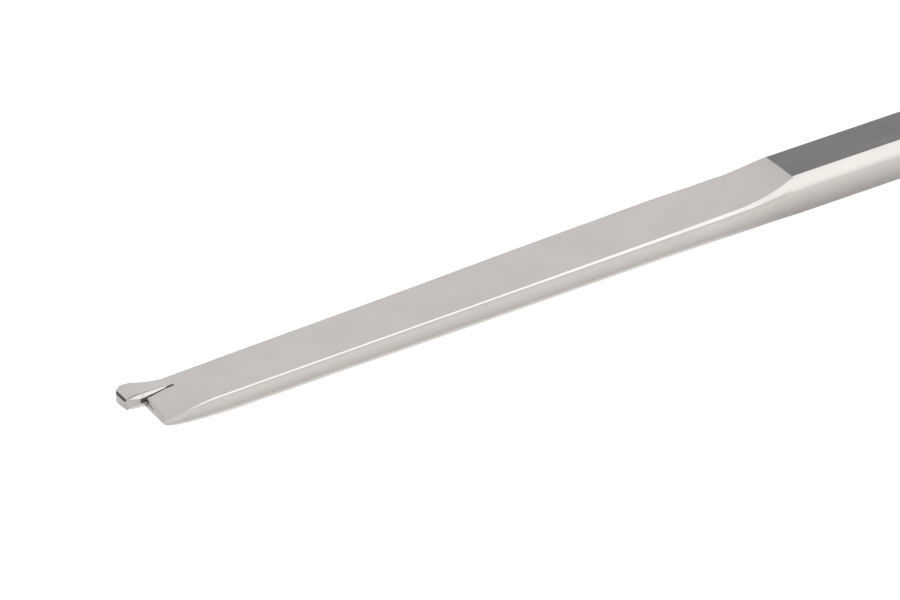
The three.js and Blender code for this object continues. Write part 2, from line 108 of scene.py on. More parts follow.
# %% Set the camera
SHOULDER_X = 229.0
CAMERA_TURN = math.radians(30.66)
CAMERA_DROP = math.radians(35.24)
CAMERA_DISTANCE = 2.170
CAMERA_LENS = 280.0
VIEW_SHIFT_RIGHT = -0.1017  # from the shoulder to the middle of the view
VIEW_SHIFT_UP = -0.03515

view_right = Vector((math.cos(CAMERA_TURN), -math.sin(CAMERA_TURN), 0))
view_forward = Vector((
    math.sin(CAMERA_TURN) * math.cos(CAMERA_DROP),
    math.cos(CAMERA_TURN) * math.cos(CAMERA_DROP),
    -math.sin(CAMERA_DROP),
))
view_up = view_right.cross(view_forward)
shoulder = Vector(ORIGIN) + Vector((SHOULDER_X * MM, 0, 0))
view_middle = shoulder + VIEW_SHIFT_RIGHT * view_right + VIEW_SHIFT_UP * view_up

camera = bpy.data.objects.new("camera", bpy.data.cameras.new("camera"))
camera.data.lens = CAMERA_LENS
camera.location = view_middle - CAMERA_DISTANCE * view_forward
camera.rotation_euler = view_forward.to_track_quat("-Z", "Y").to_euler()
bpy.context.scene.collection.objects.link(camera)
bpy.context.scene.camera = camera
print("camera at", [round(value, 3) for value in camera.location])

# %% [markdown]
# ## Shader maths as expressions
# A shader is a formula, and a formula reads best as one. `Wire` holds one socket of a node tree. Python's
# operators on it add Math nodes, and `node` adds any other node, with its settings made first and its
# sockets filled after. Colours go through Mix nodes, because a Math node would turn them grey.


# %% Wrap a socket
class Wire:
    """A socket of a shader tree that can be used in a Python expression."""

    def __init__(self, tree, socket=None):
        self.tree = tree
        self.socket = socket

    def node(self, kind, settings=None, sockets=None, output=0):
        """Adds a node, sets its settings, then its sockets, and returns one of its outputs."""
        made = self.tree.nodes.new(kind)
        for name, value in (settings or {}).items():
            setattr(made, name, value)
        for name, value in (sockets or {}).items():
            if isinstance(value, Wire):
                self.tree.links.new(value.socket, made.inputs[name])
            else:
                made.inputs[name].default_value = value
        return Wire(self.tree, made.outputs[output])

    def math(self, operation, *others):
        return self.node("ShaderNodeMath", {"operation": operation}, dict(enumerate((self, *others))))

    def __add__(self, other):
        return self.math("ADD", other)

    def __radd__(self, other):
        return self.math("ADD", other)

    def __sub__(self, other):
        return self.math("SUBTRACT", other)

    def __rsub__(self, other):
        return self.math("MULTIPLY", -1.0).math("ADD", other)

    def __mul__(self, other):
        return self.math("MULTIPLY", other)

    def __rmul__(self, other):
        return self.math("MULTIPLY", other)

    def __truediv__(self, other):
        return self.math("DIVIDE", other)

    def clamped(self):
        return self.node("ShaderNodeClamp", None, {"Value": self})

    def ramp(self, low, high):
        """0 below low, 1 above high and a smooth rise between them."""
        settings = {"interpolation_type": "SMOOTHSTEP"}
        return self.node("ShaderNodeMapRange", settings, {"Value": self, "From Min": low, "From Max": high})

    def blend(self, first, second):
        """The first colour where this value is 0 and the second where it is 1."""
        sockets = {"Factor": self, 6: first, 7: second}
        return self.node("ShaderNodeMix", {"data_type": "RGBA"}, sockets, 2)

    def combined(self):
        """This value as a grey colour that may be brighter than white."""
        return self.node("ShaderNodeCombineXYZ", None, {0: self, 1: self, 2: self})

    def dot(self, direction):
        settings = {"operation": "DOT_PRODUCT"}
        return self.node("ShaderNodeVectorMath", settings, {0: self, 1: direction}, "Value")

    def measured_from(self, point):
        return self.node("ShaderNodeVectorMath", {"operation": "SUBTRACT"}, {0: self, 1: point})

    def stretched(self, scale):
        return self.node("ShaderNodeVectorMath", {"operation": "MULTIPLY"}, {0: self, 1: scale})

    def noise(self, scale, detail=2.0, roughness=0.5):
        sockets = {"Vector": self, "Scale": scale, "Detail": detail, "Roughness": roughness}
        return self.node("ShaderNodeTexNoise", None, sockets)

    def axes(self):
        """The three parts of a vector."""
        made = self.node("ShaderNodeSeparateXYZ", None, {"Vector": self})
        return [Wire(self.tree, output) for output in made.socket.node.outputs]


print("methods of a wire:", sorted(name for name in vars(Wire) if not name.startswith("_")))

# %% [markdown]
# ## A white tent for chrome
# Chrome has no colour of its own to speak of: it shows the room. A tool is therefore shot in a tent of
# white cloth, brighter where the lamps stand. Here the sky is that tent. Its brightness depends on the
# direction alone: a large soft box above the front, an even back, a dark gap over the lens, and a grey
# flag at the back left with a small lamp in its middle. The dark parts draw the thin dark lines that
# give chrome its edges.

# %% Light the tent
TENT_LEVEL = 1.0
LEAST_LEVEL = 0.05
FLAG_SIDE = Vector((-0.66, 0.52, 0.48)).normalized()
# each: its direction, how near to it the light starts and is full, as cosines, and what it adds
SOFT_BOX = (Vector((0.42, -0.76, 0.50)).normalized(), 0.83, 0.985, 0.66)
REAR_FILL = (Vector((0.95, 0.10, 0.25)).normalized(), 0.10, 0.95, 0.06)
TOP_GAP = (Vector((0.42, 0.06, 0.90)).normalized(), 0.93, 0.975, -0.85)
LEFT_FLAG = (FLAG_SIDE, 0.60, 0.80, -0.14)
LEFT_LAMP = (FLAG_SIDE, 0.86, 0.93, 0.10)

world = bpy.data.worlds.new("white_tent")
bpy.context.scene.world = world
world.use_nodes = True
background = world.node_tree.nodes["Background"]
sky = Wire(world.node_tree)
direction = sky.node("ShaderNodeTexCoord", output="Generated")
lamps = [direction.dot(place).ramp(start, full) * gain
         for place, start, full, gain in (SOFT_BOX, REAR_FILL, TOP_GAP, LEFT_FLAG, LEFT_LAMP)]
level = sum(lamps[1:], lamps[0]) + TENT_LEVEL
world.node_tree.links.new(level.math("MAXIMUM", LEAST_LEVEL).socket, background.inputs["Strength"])
background.inputs["Color"].default_value = (1.0, 1.0, 1.0, 1.0)
bpy.context.scene.view_settings.view_transform = "Standard"
print("tent lamps and flags:", len(lamps))

# %% [markdown]
# ## Floor
# The lever lies on a white sheet. Two planes share that job. The upper one is matt and white and is seen
# only in reflections. It glows a little, and its glow is painted light: a painted shadow dims it close to
# the lever, and a painted pool of light makes it glow most in a strip under the blade. So the bar darkens
# towards its lower side, and the blade's lower edge melts into the white. The lower one is what the lens
# sees: an evenly lit white table on which a soft shadow all but disappears.


# %% Lay the floor
SHEET_HALF = 6.0  # metres from the middle of a sheet to its edge
SHADE_HALF, SHADE_FALL = 0.007, 0.013  # metres: a painted shadow keeps the sheet dark up to the first, and it brightens past it
PAINTED_STRIP_GAIN = 2.2  # the painted pool of light in the strip, as a multiple of the sheet's glow


def matt_sheet(name, height, colour, glow):
    mesh = bpy.data.meshes.new(name)
    corners = [(SHEET_HALF * x, SHEET_HALF * y, height) for x, y in ((-1, -1), (1, -1), (1, 1), (-1, 1))]
    mesh.from_pydata(corners, [], [(0, 1, 2, 3)])
    sheet = bpy.data.objects.new(name, mesh)
    bpy.context.scene.collection.objects.link(sheet)
    finish = bpy.data.materials.new(name)
    finish.use_nodes = True
    shader = finish.node_tree.nodes["Principled BSDF"]
    shader.inputs["Base Color"].default_value = (*colour, 1)
    shader.inputs["Roughness"].default_value = 1.0
    shader.inputs["Specular IOR Level"].default_value = 0.0
    shader.inputs["Emission Color"].default_value = (1, 1, 1, 1)
    shader.inputs["Emission Strength"].default_value = glow
    mesh.materials.append(finish)
    sheet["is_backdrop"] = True
    return sheet, shader


reflecting_floor, shader = matt_sheet("reflecting_floor", -0.0001, (0.85, 0.84, 0.83), 0.385)
reflecting_floor.visible_camera = False
tree = reflecting_floor.data.materials[0].node_tree
along, across, _ = Wire(tree).node("ShaderNodeNewGeometry", output="Position").axes()
away = across.math("ABSOLUTE")
# painted shadow: the sheet's glow fades close to the lever
glow = ((away - SHADE_HALF) / (away + SHADE_FALL)).clamped()
# painted pool of light: a strip under the blade glows more
painted_light_strip = across.ramp(-0.021, -0.002) * (1.0 - across.ramp(0.02, 0.05))
painted_light_strip = painted_light_strip * (1.0 - along.ramp(TIP_X + 0.185, TIP_X + 0.235)) * along.ramp(TIP_X, TIP_X + 0.012)
tree.links.new((glow + PAINTED_STRIP_GAIN * painted_light_strip).combined().socket, shader.inputs["Emission Color"])

seen_floor, shader = matt_sheet("seen_floor", -0.0006, (0.30, 0.30, 0.30), 0.86)
for ray in ("diffuse", "glossy", "transmission", "shadow"):
    setattr(seen_floor, "visible_" + ray, False)
print("floor sheets:", reflecting_floor.name, seen_floor.name)

# %% [markdown]
# ## The forging, as one skin
# The blade, the finger and the bar are forged as one piece, ground flat on top and then polished and
# chromed. A skin made from cross-sections suits such a form: every section is a ring of points in the
# same order, so the ground flat, its bevels and the parting line run along the whole lever as clean
# lines. The corners of each section are cut back and rounded, because a ground edge is never quite sharp
# and its small round is what catches the light.


# %% Helpers for curves
def share(x, start, end):
    """How far x has come from start to end, kept from 0 to 1."""
    return np.clip((x - start) / (end - start), 0, 1)


def smooth(x, start, end):
    """The same share, with a soft start and a soft end."""
    s = share(x, start, end)
    return s * s * (3 - 2 * s)


def mix(first, second, s):
    return first + (second - first) * s


def quarter_round(s):
    """0 at 0 and 1 at 1, on a quarter circle that ends upright."""
    return 1 - np.sqrt(np.clip(1 - s * s, 0, 1))


def curve(start, corner, end, t):
    """The point at t on the curve that leaves start towards the corner and arrives at the end."""
    return (1 - t) ** 2 * start + 2 * t * (1 - t) * corner + t * t * end


def rounded(corners):
    """The points of many sections at once. Each corner is (y, z, cut, steps): it is cut back by that
    length on both sides and becomes a curve of that many points. The first and last stay as they are."""
    places = [np.stack(np.broadcast_arrays(y, z), -1) for y, z, _, _ in corners]
    points = [places[0]]
    for i in range(1, len(corners) - 1):
        _, _, cut, steps = corners[i]
        here = places[i]
        if steps == 1:
            points.append(here)
            continue
        ends = []
        for other in (places[i - 1], places[i + 1]):
            way = other - here
            length = np.maximum(np.linalg.norm(way, axis=-1), 1e-9)
            ends.append(here + way * np.minimum(cut / length, 0.45)[..., None])
        points += [curve(ends[0], here, ends[1], t) for t in np.linspace(0, 1, steps)]
    points.append(places[-1])
    return np.stack(points, 1)


print("a square corner cut by 1 mm ends at", rounded([
    (np.zeros(1), np.zeros(1), 0, 1), (np.full(1, 5.0), np.zeros(1), np.ones(1), 3),
    (np.full(1, 5.0), np.full(1, 5.0), 0, 1)])[0, 1:-1].round(2).tolist())

# %% [markdown]
# ## Heights along the lever
# All heights are in millimetres from the bar's axis, and all places along the lever in millimetres from
# the tip. The blade's flat is ground at a slight slope. It climbs to the flat for markings on a cutter's
# arc, which gives the crisp line at the shoulder.

# %% Blade and bar
BLADE_END_X = 7.5  # the finger reaches past the blade by this length
RAMP_X = 208.0  # the flat starts to climb
MARKED_END_X = 325.0
MARKED_RUN_OUT = 9.0
HANDLE_X = 430.0
BAR_RADIUS = 10.0
MARKED_Z = 7.55
FLAT_RISE = 4.3  # of the ground flat, from the blade's end to the shoulder
END_HALF_WIDTH, SHOULDER_HALF_WIDTH = 8.6, 9.95
LEDGE = 0.45  # the small upright step on the parting line


def flat_line(x):
    return FLAT_RISE * (x - BLADE_END_X) / (SHOULDER_X - BLADE_END_X)


def flat_height(x):
    """The ground flat, and from the ramp on the cutter's arc that climbs from it."""
    climb = MARKED_Z - FLAT_RISE
    length = SHOULDER_X - RAMP_X
    radius = (length ** 2 + climb ** 2) / (2 * climb)
    along = np.clip(x - RAMP_X, 0, length)
    return flat_line(np.minimum(x, SHOULDER_X)) + radius - np.sqrt(radius ** 2 - along ** 2)


print("flat at the tip, ramp and shoulder:", [float(flat_height(x).round(2)) for x in (7.5, 208.0, 229.0)])

# %% [markdown]
# ## Edges of the blade
# A grinder breaks the blade's long edges with a bevel, and a forging die leaves a small upright ledge
# under it. The blade is a little wider on its far side. Towards the tip the near corner dips, because the
# polishing wheel rolls off there, and the underside rises in a round nose.

# %% Edges and underside
BREAK_AT_TIP, BREAK_ON_BLADE = 0.06, 0.42
FAR_BREAK = 0.38
NOSE_LENGTH = 27.0
NOSE_Z, BELLY_Z = -2.85, -8.55


def half_width(x):
    return mix(END_HALF_WIDTH, SHOULDER_HALF_WIDTH, (x - BLADE_END_X) / (SHOULDER_X - BLADE_END_X))


def near_half_width(x):
    """The near side runs straight once it is this wide, and draws in a little before the shoulder."""
    return mix(np.minimum(half_width(x), 9.72), 9.47, smooth(x, 214.0, 226.0))


def far_half_width(x):
    """The far side stands out a little more, most of all on the rear half of the blade."""
    swell = 0.14 + 0.42 * smooth(x, 90.0, 150.0)
    return half_width(x) + swell * smooth(x, 20.0, 45.0) * (1 - smooth(x, 186.0, 208.0))


def edge_break(x):
    """The near edge's bevel, which grows towards the shoulder."""
    grown = 0.26 * smooth(x, 110.0, 185.0) + 0.2 * smooth(x, 188.0, 206.0)
    return mix(BREAK_AT_TIP, BREAK_ON_BLADE, smooth(x, 12.0, 24.0)) + grown


def near_corner(x):
    """The flat's near corner. From the ramp on it lies on a circle, like the bar's."""
    circle = mix(9.62, BAR_RADIUS, smooth(x, 216.0, SHOULDER_X))
    return np.minimum(near_half_width(x) - edge_break(x), np.sqrt(circle ** 2 - flat_height(x) ** 2))


def far_corner(x):
    """The flat's far corner, which lies on circles of its own from the ramp on."""
    circle = mix(10.6, 9.8, smooth(x, 205.0, 216.0))
    circle = mix(circle, BAR_RADIUS, smooth(x, 222.0, SHOULDER_X))
    return np.minimum(far_half_width(x) - FAR_BREAK, np.sqrt(circle ** 2 - flat_height(x) ** 2))


def bevel_foot(x):
    """The height where the bevel ends and the small upright ledge of the parting line begins."""
    return flat_line(x) - mix(edge_break(x), 0.15, smooth(x, 212.0, 224.0))


def tip_dip(x):
    """How far the near corner of the flat has dipped at x, as a share of its full dip."""
    return share(x, 24.0, BLADE_END_X) ** 1.25


def underside(x):
    """The belly's lowest line, which rises in a round nose at the end of the blade."""
    nose = share(x, BLADE_END_X + NOSE_LENGTH, BLADE_END_X - 0.6)
    full = BELLY_Z - 0.35 * (1 - smooth(x, 30.0, 70.0)) + 0.85 * smooth(x, 95.0, 195.0)
    return mix(NOSE_Z, full, np.sqrt(1 - nose ** 2))


print("underside at the tip, middle and shoulder:",
      [float(underside(x).round(2)) for x in (7.5, 120.0, 229.0)])

# %% [markdown]
# ## The finger
# The finger holds the first stretch of bead while the lever is turned. It stands up out of the flat on
# the far side of the tip. Its top swells towards the far side, its near side slopes down to the flat, and
# the slope gives way to an upright wall where the finger reaches past the end of the blade.

# %% Finger heights
FINGER_WALL_Y = 1.9  # the wall's place across the blade
FOOT_Y, FOOT_SLANT = 0.88, 0.17  # where the slope meets the flat, and how it slants along the blade
FLANK_SLOPE = 0.84  # across for each millimetre of height
FINGER_TOP_SHARES = (0.06, 0.14, 0.24, 0.36, 0.5, 0.64, 0.78, 0.9)


def finger_far_height(x):
    return 2.65 * (1 - smooth(x, 2.2, 16.5))


def finger_near_height(x):
    return (1.6 - 0.105 * np.clip(x - 4.6, 0, None)) * (1 - smooth(x, 14.0, 17.0))


def finger_corners(x, width, far_foot, foot_y, foot_z, foot_cut):
    """The corners from the finger's far side over its top, down its flank and wall, to its foot."""
    base = np.where(x < BLADE_END_X, 0.0, flat_height(x))
    far_z = base + finger_far_height(x)
    rise = 1.55 * share(x, 6.6, 1.0)
    wall = share(base - foot_z, 0.0, 0.6)
    lift = 0.72 * (1 - wall) * finger_near_height(x)
    flank_y = foot_y + 0.18 * rise + FLANK_SLOPE * lift
    flank_z = base + rise + lift
    near_z = np.maximum(base + finger_near_height(x), flank_z + 0.03 * (1 - smooth(x, 12.0, 16.0)))
    top_y = flank_y + FLANK_SLOPE * (near_z - flank_z) + 0.02
    corners = [(*far_foot, 0.2, 3), (width, far_z, 0.2, 4)]
    corners += [(mix(width, top_y, s), mix(far_z, near_z, s), 0, 1) for s in FINGER_TOP_SHARES]
    corners.append((top_y, near_z, 0.22, 4))
    corners.append((mix(top_y, flank_y, 0.8), mix(near_z, flank_z, 0.8), 0, 1))
    corners.append((flank_y, flank_z, 0.18, 3))
    corners += [(mix(flank_y, foot_y, s), mix(flank_z, foot_z, s), 0, 1) for s in (0.1, 0.2)]
    corners.append((foot_y, foot_z, foot_cut, 5))
    return corners


print("finger height at its end, far and near:", finger_far_height(0.0), finger_near_height(0.0))

# %% [markdown]
# ## The belly's outline
# The blade is flat on top only: its underside is a deep belly with a leaning side, a round corner and a
# slightly bulged bottom. Four arcs that follow each other draw it once, as shares of the half width and
# of the depth, and every section then scales that drawing to its own size.

# %% Draw half a belly
BELLY_HALF_WIDTH = 9.9
# the arcs of the side and the corner: radius, the way that they face from start to end, and steps
BELLY_ARCS = ((18.0, (23.0, 18.0), 3), (7.0, (18.0, 5.5), 3), (4.7, (5.5, -72.0), 9))
BOTTOM_STEPS = 5


def arc(start, radius, turns, steps):
    """Points that go on from start along a bend, whose surface faces turn from the first to the last."""
    first, last = np.radians(turns)
    facing = np.linspace(first, last, steps + 1)[1:, None]
    middle = start - radius * np.array([math.cos(first), math.sin(first)])
    return middle + radius * np.concatenate([np.cos(facing), np.sin(facing)], 1)


def belly_shape():
    """Half of the belly, from its parting line to its middle, as shares of the half width and of the
    depth. Its depth is returned too, as drawn."""
    shape = np.array([[BELLY_HALF_WIDTH, 0.0]])
    for bend in BELLY_ARCS:
        shape = np.concatenate([shape, arc(shape[-1], *bend)])
    last_turn = BELLY_ARCS[-1][1][1]
    bottom_radius = shape[-1][0] / math.cos(math.radians(last_turn))
    shape = np.concatenate([shape, arc(shape[-1], bottom_radius, (last_turn, -90.0), BOTTOM_STEPS)])[1:]
    return np.stack([shape[:, 0] / BELLY_HALF_WIDTH, shape[:, 1] / shape[-1, 1]], 1), -shape[-1, 1]


HALF_BELLY, BELLY_FALL = belly_shape()


def leaning(depth):
    """The belly's shares of the half width where it has this depth. The side keeps its lean: where the
    blade is thin, the side stands out less."""
    corner = len(HALF_BELLY) - BOTTOM_STEPS
    side = 1 - (1 - HALF_BELLY[:, 0]) * (depth / BELLY_FALL)[:, None]
    bottom = side[:, corner - 1:corner] * HALF_BELLY[corner:, 0] / HALF_BELLY[corner - 1, 0]
    return np.concatenate([side[:, :corner], bottom], 1)


def belly(near_y, near_parting, far_y, far_parting, bottom):
    """The belly of many sections at once, from the near parting line under the blade to the far one."""
    near_shares = leaning(near_parting - bottom)
    far_shares = leaning(far_parting - bottom)[:, -2::-1]
    y = np.concatenate([-near_y[:, None] * near_shares, far_y[:, None] * far_shares], 1)
    z = np.concatenate([mix(near_parting[:, None], bottom[:, None], HALF_BELLY[:, 1]),
                        mix(far_parting[:, None], bottom[:, None], HALF_BELLY[-2::-1, 1])], 1)
    return np.stack([y, z], -1)


print("points of half a belly:", len(HALF_BELLY), "depth as drawn: %.2f" % BELLY_FALL)

# %% [markdown]
# ## Sections of the blade
# A section starts at the far parting line, goes over the finger and the ground flat to the near bevel, and
# comes back under the belly. Near the end edge the flat rolls over on a small quarter circle, as the wheel
# leaves it.

# %% Cut the blade
ROOT_X = 6.7  # where the blade's end edge meets the finger
END_ROLL = 1.6
EDGE_ROOT_Z, EDGE_CORNER_Z = -2.2, -2.45
FAR_EDGE_Z = -2.4
TIP_DROP = 2.2  # how far the near corner has dipped at the end edge
FLAT_SPREAD = (0.12, 0.18, 0.25, 0.33, 0.43, 0.54, 0.65, 0.76, 0.86, 0.93, 0.975)


def blade_sections(x):
    """The blade at the stations x: from the far parting line over the top, and then under."""
    height = flat_height(x)
    dip = tip_dip(x)
    roll = quarter_round(share(x, ROOT_X + END_ROLL, ROOT_X))
    near_parting_y = near_half_width(x)
    parting_y = far_half_width(x)
    ledge = LEDGE * (1 - smooth(x, 214.0, 228.0)) * (1 - 0.7 * dip)
    far_parting = mix(bevel_foot(x) - ledge, FAR_EDGE_Z, dip)
    foot_y = FOOT_Y + FOOT_SLANT * np.minimum(x, 20.0)
    foot_z = mix(height, EDGE_ROOT_Z, roll)
    foot_cut = mix(0.4, 1.0, smooth(x, 18.4, 16.8))
    near_y = -near_corner(x)
    near_z = mix(height - TIP_DROP * dip, EDGE_CORNER_Z, roll)
    near_foot_z = bevel_foot(x) + near_z - height
    near_parting = near_foot_z - ledge

    far_z = height + finger_far_height(x)
    far_foot = (parting_y, mix(far_z - 0.5, bevel_foot(x), smooth(x, 16.0, 24.0)))
    corners = [(parting_y, far_parting, 0, 1)]
    corners += finger_corners(x, far_corner(x), far_foot, foot_y, foot_z, foot_cut)
    for s in FLAT_SPREAD:
        across = mix(height - TIP_DROP * dip * s ** 1.2, mix(EDGE_ROOT_Z, EDGE_CORNER_Z, s), roll)
        corners.append((mix(foot_y, near_y, s), across, 0, 1))
    corners.append((near_y, near_z, 0.05, 4))
    corners.append((-near_parting_y, near_foot_z, 0.06, 3))
    corners.append((-near_parting_y, near_parting, 0, 1))
    top = rounded(corners)
    under = belly(near_parting_y, near_parting, parting_y, far_parting, underside(x))
    return np.concatenate([top, under], 1), top.shape[1]


probe, probe_top = blade_sections(np.array([ROOT_X, 60.0, SHOULDER_X]))
print("points in a section:", probe.shape[1], "of them from parting line to parting line:", probe_top)

# %% [markdown]
# ## Sections of the bar
# The bar's section is a circle with the flat for markings cut across its top. It takes the same number of
# points in the same order as the blade's, so that the one can flow into the other without a seam.

# %% Cut the bar
SIDE_POINTS = 4  # the parting line and the bevel's foot, on each side
CORNER_TURN = math.acos(MARKED_Z / BAR_RADIUS)
PARTING_TURN = math.acos(0.4)
FLAT_HALF_WIDTH = BAR_RADIUS * math.sin(CORNER_TURN)
CUT_SOFTNESS = 0.015  # how softly the flat's edge meets the round


def bar_sections(x, blade, top_count):
    """The bar at the stations x, with its points in the blade's order."""
    ring = np.zeros_like(blade)
    flat = slice(SIDE_POINTS, top_count - SIDE_POINTS)
    far_reach, near_reach = blade[:, SIDE_POINTS + 2, 0], -blade[:, top_count - SIDE_POINTS - 2, 0]
    spread = blade[:, flat, 0]
    spread = spread / np.where(spread > 0, far_reach[:, None], near_reach[:, None])
    y = spread * np.sqrt(BAR_RADIUS ** 2 - flat_height(x) ** 2)[:, None]
    run_out = share(x, MARKED_END_X, MARKED_END_X + MARKED_RUN_OUT)
    cut = mix(flat_height(x), BAR_RADIUS + 0.2, run_out ** 2)[:, None]
    round_z = np.sqrt(np.clip(BAR_RADIUS ** 2 - y ** 2, 0, None))
    ring[:, flat, 0] = y
    ring[:, flat, 1] = (cut + round_z - np.sqrt((cut - round_z) ** 2 + CUT_SOFTNESS)) / 2
    side = mix(PARTING_TURN, CORNER_TURN, np.array([0.0, 0.3, 0.5, 0.7]))
    far_side = BAR_RADIUS * np.stack([np.sin(side), np.cos(side)], -1)
    ring[:, :SIDE_POINTS] = far_side
    ring[:, top_count - SIDE_POINTS:top_count] = far_side[::-1] * (-1, 1)
    above = np.pi / 2 - PARTING_TURN
    half = np.linspace(-above, np.pi / 2, len(HALF_BELLY) + 1)[1:]
    under = np.concatenate([half, np.pi - half[-2::-1]])
    ring[:, top_count:, 0] = -BAR_RADIUS * np.cos(under)
    ring[:, top_count:, 1] = -BAR_RADIUS * np.sin(under)
    return ring


print("width of the flat for markings: %.1f mm" % (2 * FLAT_HALF_WIDTH))

# %% [markdown]
# ## Rows from the tip to the handle
# A row of points costs little where it is needed: close together where the tip turns and where the
# shoulder's crisp line runs, and far apart along the plain bar. The shoulder line lies slightly askew
# across the blade, and so does the end edge, as a hand-held grind leaves them.

# %% Lay the rows
EDGE_SKEW = 0.03
SHOULDER_SKEW = -0.10


def stations(*stretches):
    """Stations from (start, end, count) stretches, each without its end."""
    return np.concatenate([np.linspace(start, end, count, endpoint=False) for start, end, count in stretches])


turn_in = ROOT_X + END_ROLL * (1 - np.cos(np.linspace(0, np.pi / 2, 14)))[:-1]
blade_x = np.concatenate([turn_in, stations(
    (ROOT_X + END_ROLL, 20.0, 24), (20.0, 30.0, 14), (30.0, RAMP_X, 30), (RAMP_X, 223.0, 16),
    (223.0, 228.7, 12), (228.7, 229.3, 4), (229.3, 240.0, 6), (240.0, MARKED_END_X, 10),
    (MARKED_END_X, 336.0, 16), (336.0, 429.5, 12)), [429.5]])
blade_ring, TOP_COUNT = blade_sections(np.minimum(blade_x, SHOULDER_X))
bar_ring = bar_sections(blade_x, blade_ring, TOP_COUNT)
to_bar = np.repeat(smooth(blade_x, 222.0, SHOULDER_X)[:, None], blade_ring.shape[1], 1)
to_bar[:, TOP_COUNT:] = smooth(blade_x, 198.0, 238.0)[:, None]
ring = mix(blade_ring, bar_ring, to_bar[..., None])

edge_fade = (1 - share(blade_x, ROOT_X, 24.0))[:, None]
shoulder_fade = (smooth(blade_x, 200.0, SHOULDER_X) * (1 - smooth(blade_x, SHOULDER_X, 250.0)))[:, None]
skewed_x = blade_x[:, None] + SHOULDER_SKEW * ring[:, :, 0] * shoulder_fade
skewed_x = skewed_x + EDGE_SKEW * np.clip(FINGER_WALL_Y - ring[:, :, 0], 0, None) * edge_fade
lever_rows = np.concatenate([skewed_x[..., None], ring], -1)
print("rows of blade and bar:", len(lever_rows), "points each:", lever_rows.shape[1])

# %% [markdown]
# ## The finger's free end
# Past the blade's edge only the finger goes on. Its sections start from the matching points of the
# blade's first section, flow out of a small root round, and are drawn onto the outline of its end face,
# which stands slightly askew and has a large far corner. The end face's edge is chamfered.

# %% Finger rows
FINGER_WIDTH = END_HALF_WIDTH
FINGER_END_SKEW = 0.166
FINGER_FAR_ROUND, FINGER_NEAR_ROUND = 2.6, 0.6
FINGER_CHAMFER = 0.6
FINGER_UNDER_Z, ROOT_UNDER_Z = -2.1, -3.2  # the underside at the free end and at the blade
UNDER_FAR_ROUND, UNDER_FAR_LIFT = 3.0, 2.1
UNDER_NEAR_ROUND, UNDER_NEAR_LIFT = 0.5, 0.35
ROOT_ROUND = 1.2
TOP_CHAIN = 1 + 3 + 4 + len(FINGER_TOP_SHARES) + 4 + 1 + 3  # points over the top to the flank's foot
FOOT_LAST = TOP_CHAIN + 2 + 5 - 1  # the last point of the wall's foot
UNDER_EXTRA = 5  # points between the wall's foot and the middle of the underside


def end_outline(y):
    """Where the finger's end face stands, for points across it."""
    flat_part = -FINGER_END_SKEW * np.clip(y - FINGER_WALL_Y, 0, 4.1)
    far = np.clip((y - (FINGER_WIDTH - FINGER_FAR_ROUND)) / FINGER_FAR_ROUND, 0, 1)
    near = np.clip((FINGER_WALL_Y + FINGER_NEAR_ROUND - y) / FINGER_NEAR_ROUND, 0, 1)
    return flat_part + FINGER_FAR_ROUND * quarter_round(far) + FINGER_NEAR_ROUND * quarter_round(near)


def finger_sections(x):
    """The finger past the blade's edge, in the order of the blade's points that it goes on from."""
    bottom = mix(FINGER_UNDER_Z, ROOT_UNDER_Z, share(x, 0.0, BLADE_END_X))
    width = np.full(len(x), FINGER_WIDTH)
    wall_y = np.full(len(x), FINGER_WALL_Y)
    far_foot = (width, finger_far_height(x) - 0.7)
    corners = [(width + 0.06, bottom + 1.3, 0, 1)]
    corners += finger_corners(x, width, far_foot, wall_y, np.full(len(x), -1.2), 0.4)
    corners.append((wall_y, bottom, 0, 1))
    top = rounded(corners)[:, :FOOT_LAST + 1]
    y = top[:, TOP_CHAIN - 1::-1, 0]
    far_turn = np.clip((y - (FINGER_WIDTH - UNDER_FAR_ROUND)) / (UNDER_FAR_ROUND + 0.06), 0, 1)
    near_turn = np.clip((FINGER_WALL_Y + UNDER_NEAR_ROUND - y) / UNDER_NEAR_ROUND, 0, 1)
    z = bottom[:, None] + UNDER_FAR_LIFT * quarter_round(far_turn)
    z = z + UNDER_NEAR_LIFT * quarter_round(near_turn)
    return np.concatenate([top, np.stack([y, z], -1)], 1)


root = lever_rows[0]
steps = np.linspace(0, 1, UNDER_EXTRA + 2)[1:-1, None]
split_index = TOP_COUNT + len(HALF_BELLY)
root_ring = np.concatenate([
    root[:FOOT_LAST + 1], mix(root[FOOT_LAST], root[split_index], steps), root[split_index:]])
finger_x = np.concatenate([
    stations((FINGER_CHAMFER, 2.0, 8), (2.0, ROOT_X - ROOT_ROUND, 10)),
    ROOT_X - ROOT_ROUND * (1 - np.sin(np.linspace(0, np.pi / 2, 8)))[:-1]])
finger_ring = finger_sections(finger_x)
reach = np.clip(1 - finger_x / 3.0, 0, 1)[:, None]
finger_rows = np.concatenate([(finger_x[:, None] + reach * end_outline(finger_ring[..., 0]))[..., None],
                              finger_ring], -1)
bulge = quarter_round(share(finger_x, ROOT_X - ROOT_ROUND, ROOT_X))[:, None, None]
finger_rows = mix(finger_rows, root_ring[None] * (0, 1, 1) + finger_rows * (1, 0, 0), bulge)

end_rows = []
end_section = finger_sections(np.zeros(1))[0]
middle = (end_section.min(0) + end_section.max(0)) / 2
half = (end_section.max(0) - end_section.min(0)) / 2
for away, inset in ((0.0, 1.0), (0.1, 0.85), (0.85, 0.1)):  # the chamfer, with softened borders
    section = middle + (end_section - middle) * (1 - FINGER_CHAMFER * inset / half)
    x = FINGER_CHAMFER * away + end_outline(section[:, 0])
    end_rows.append(np.concatenate([x[:, None], section], -1))
finger_rows = np.concatenate([np.array(end_rows), finger_rows, root_ring[None]])
print("rows of the finger:", len(finger_rows), "points each:", finger_rows.shape[1])

# %% [markdown]
# ## The tang
# Behind the bar's shoulder the forging goes on as a thinner tang. Two flats key the handle to it, and its
# end is threaded for the nut and the cap. Its sections take their points from the bar's last section, so
# the tang grows out of the bar in the same skin. The thread is a groove that winds around those rows.

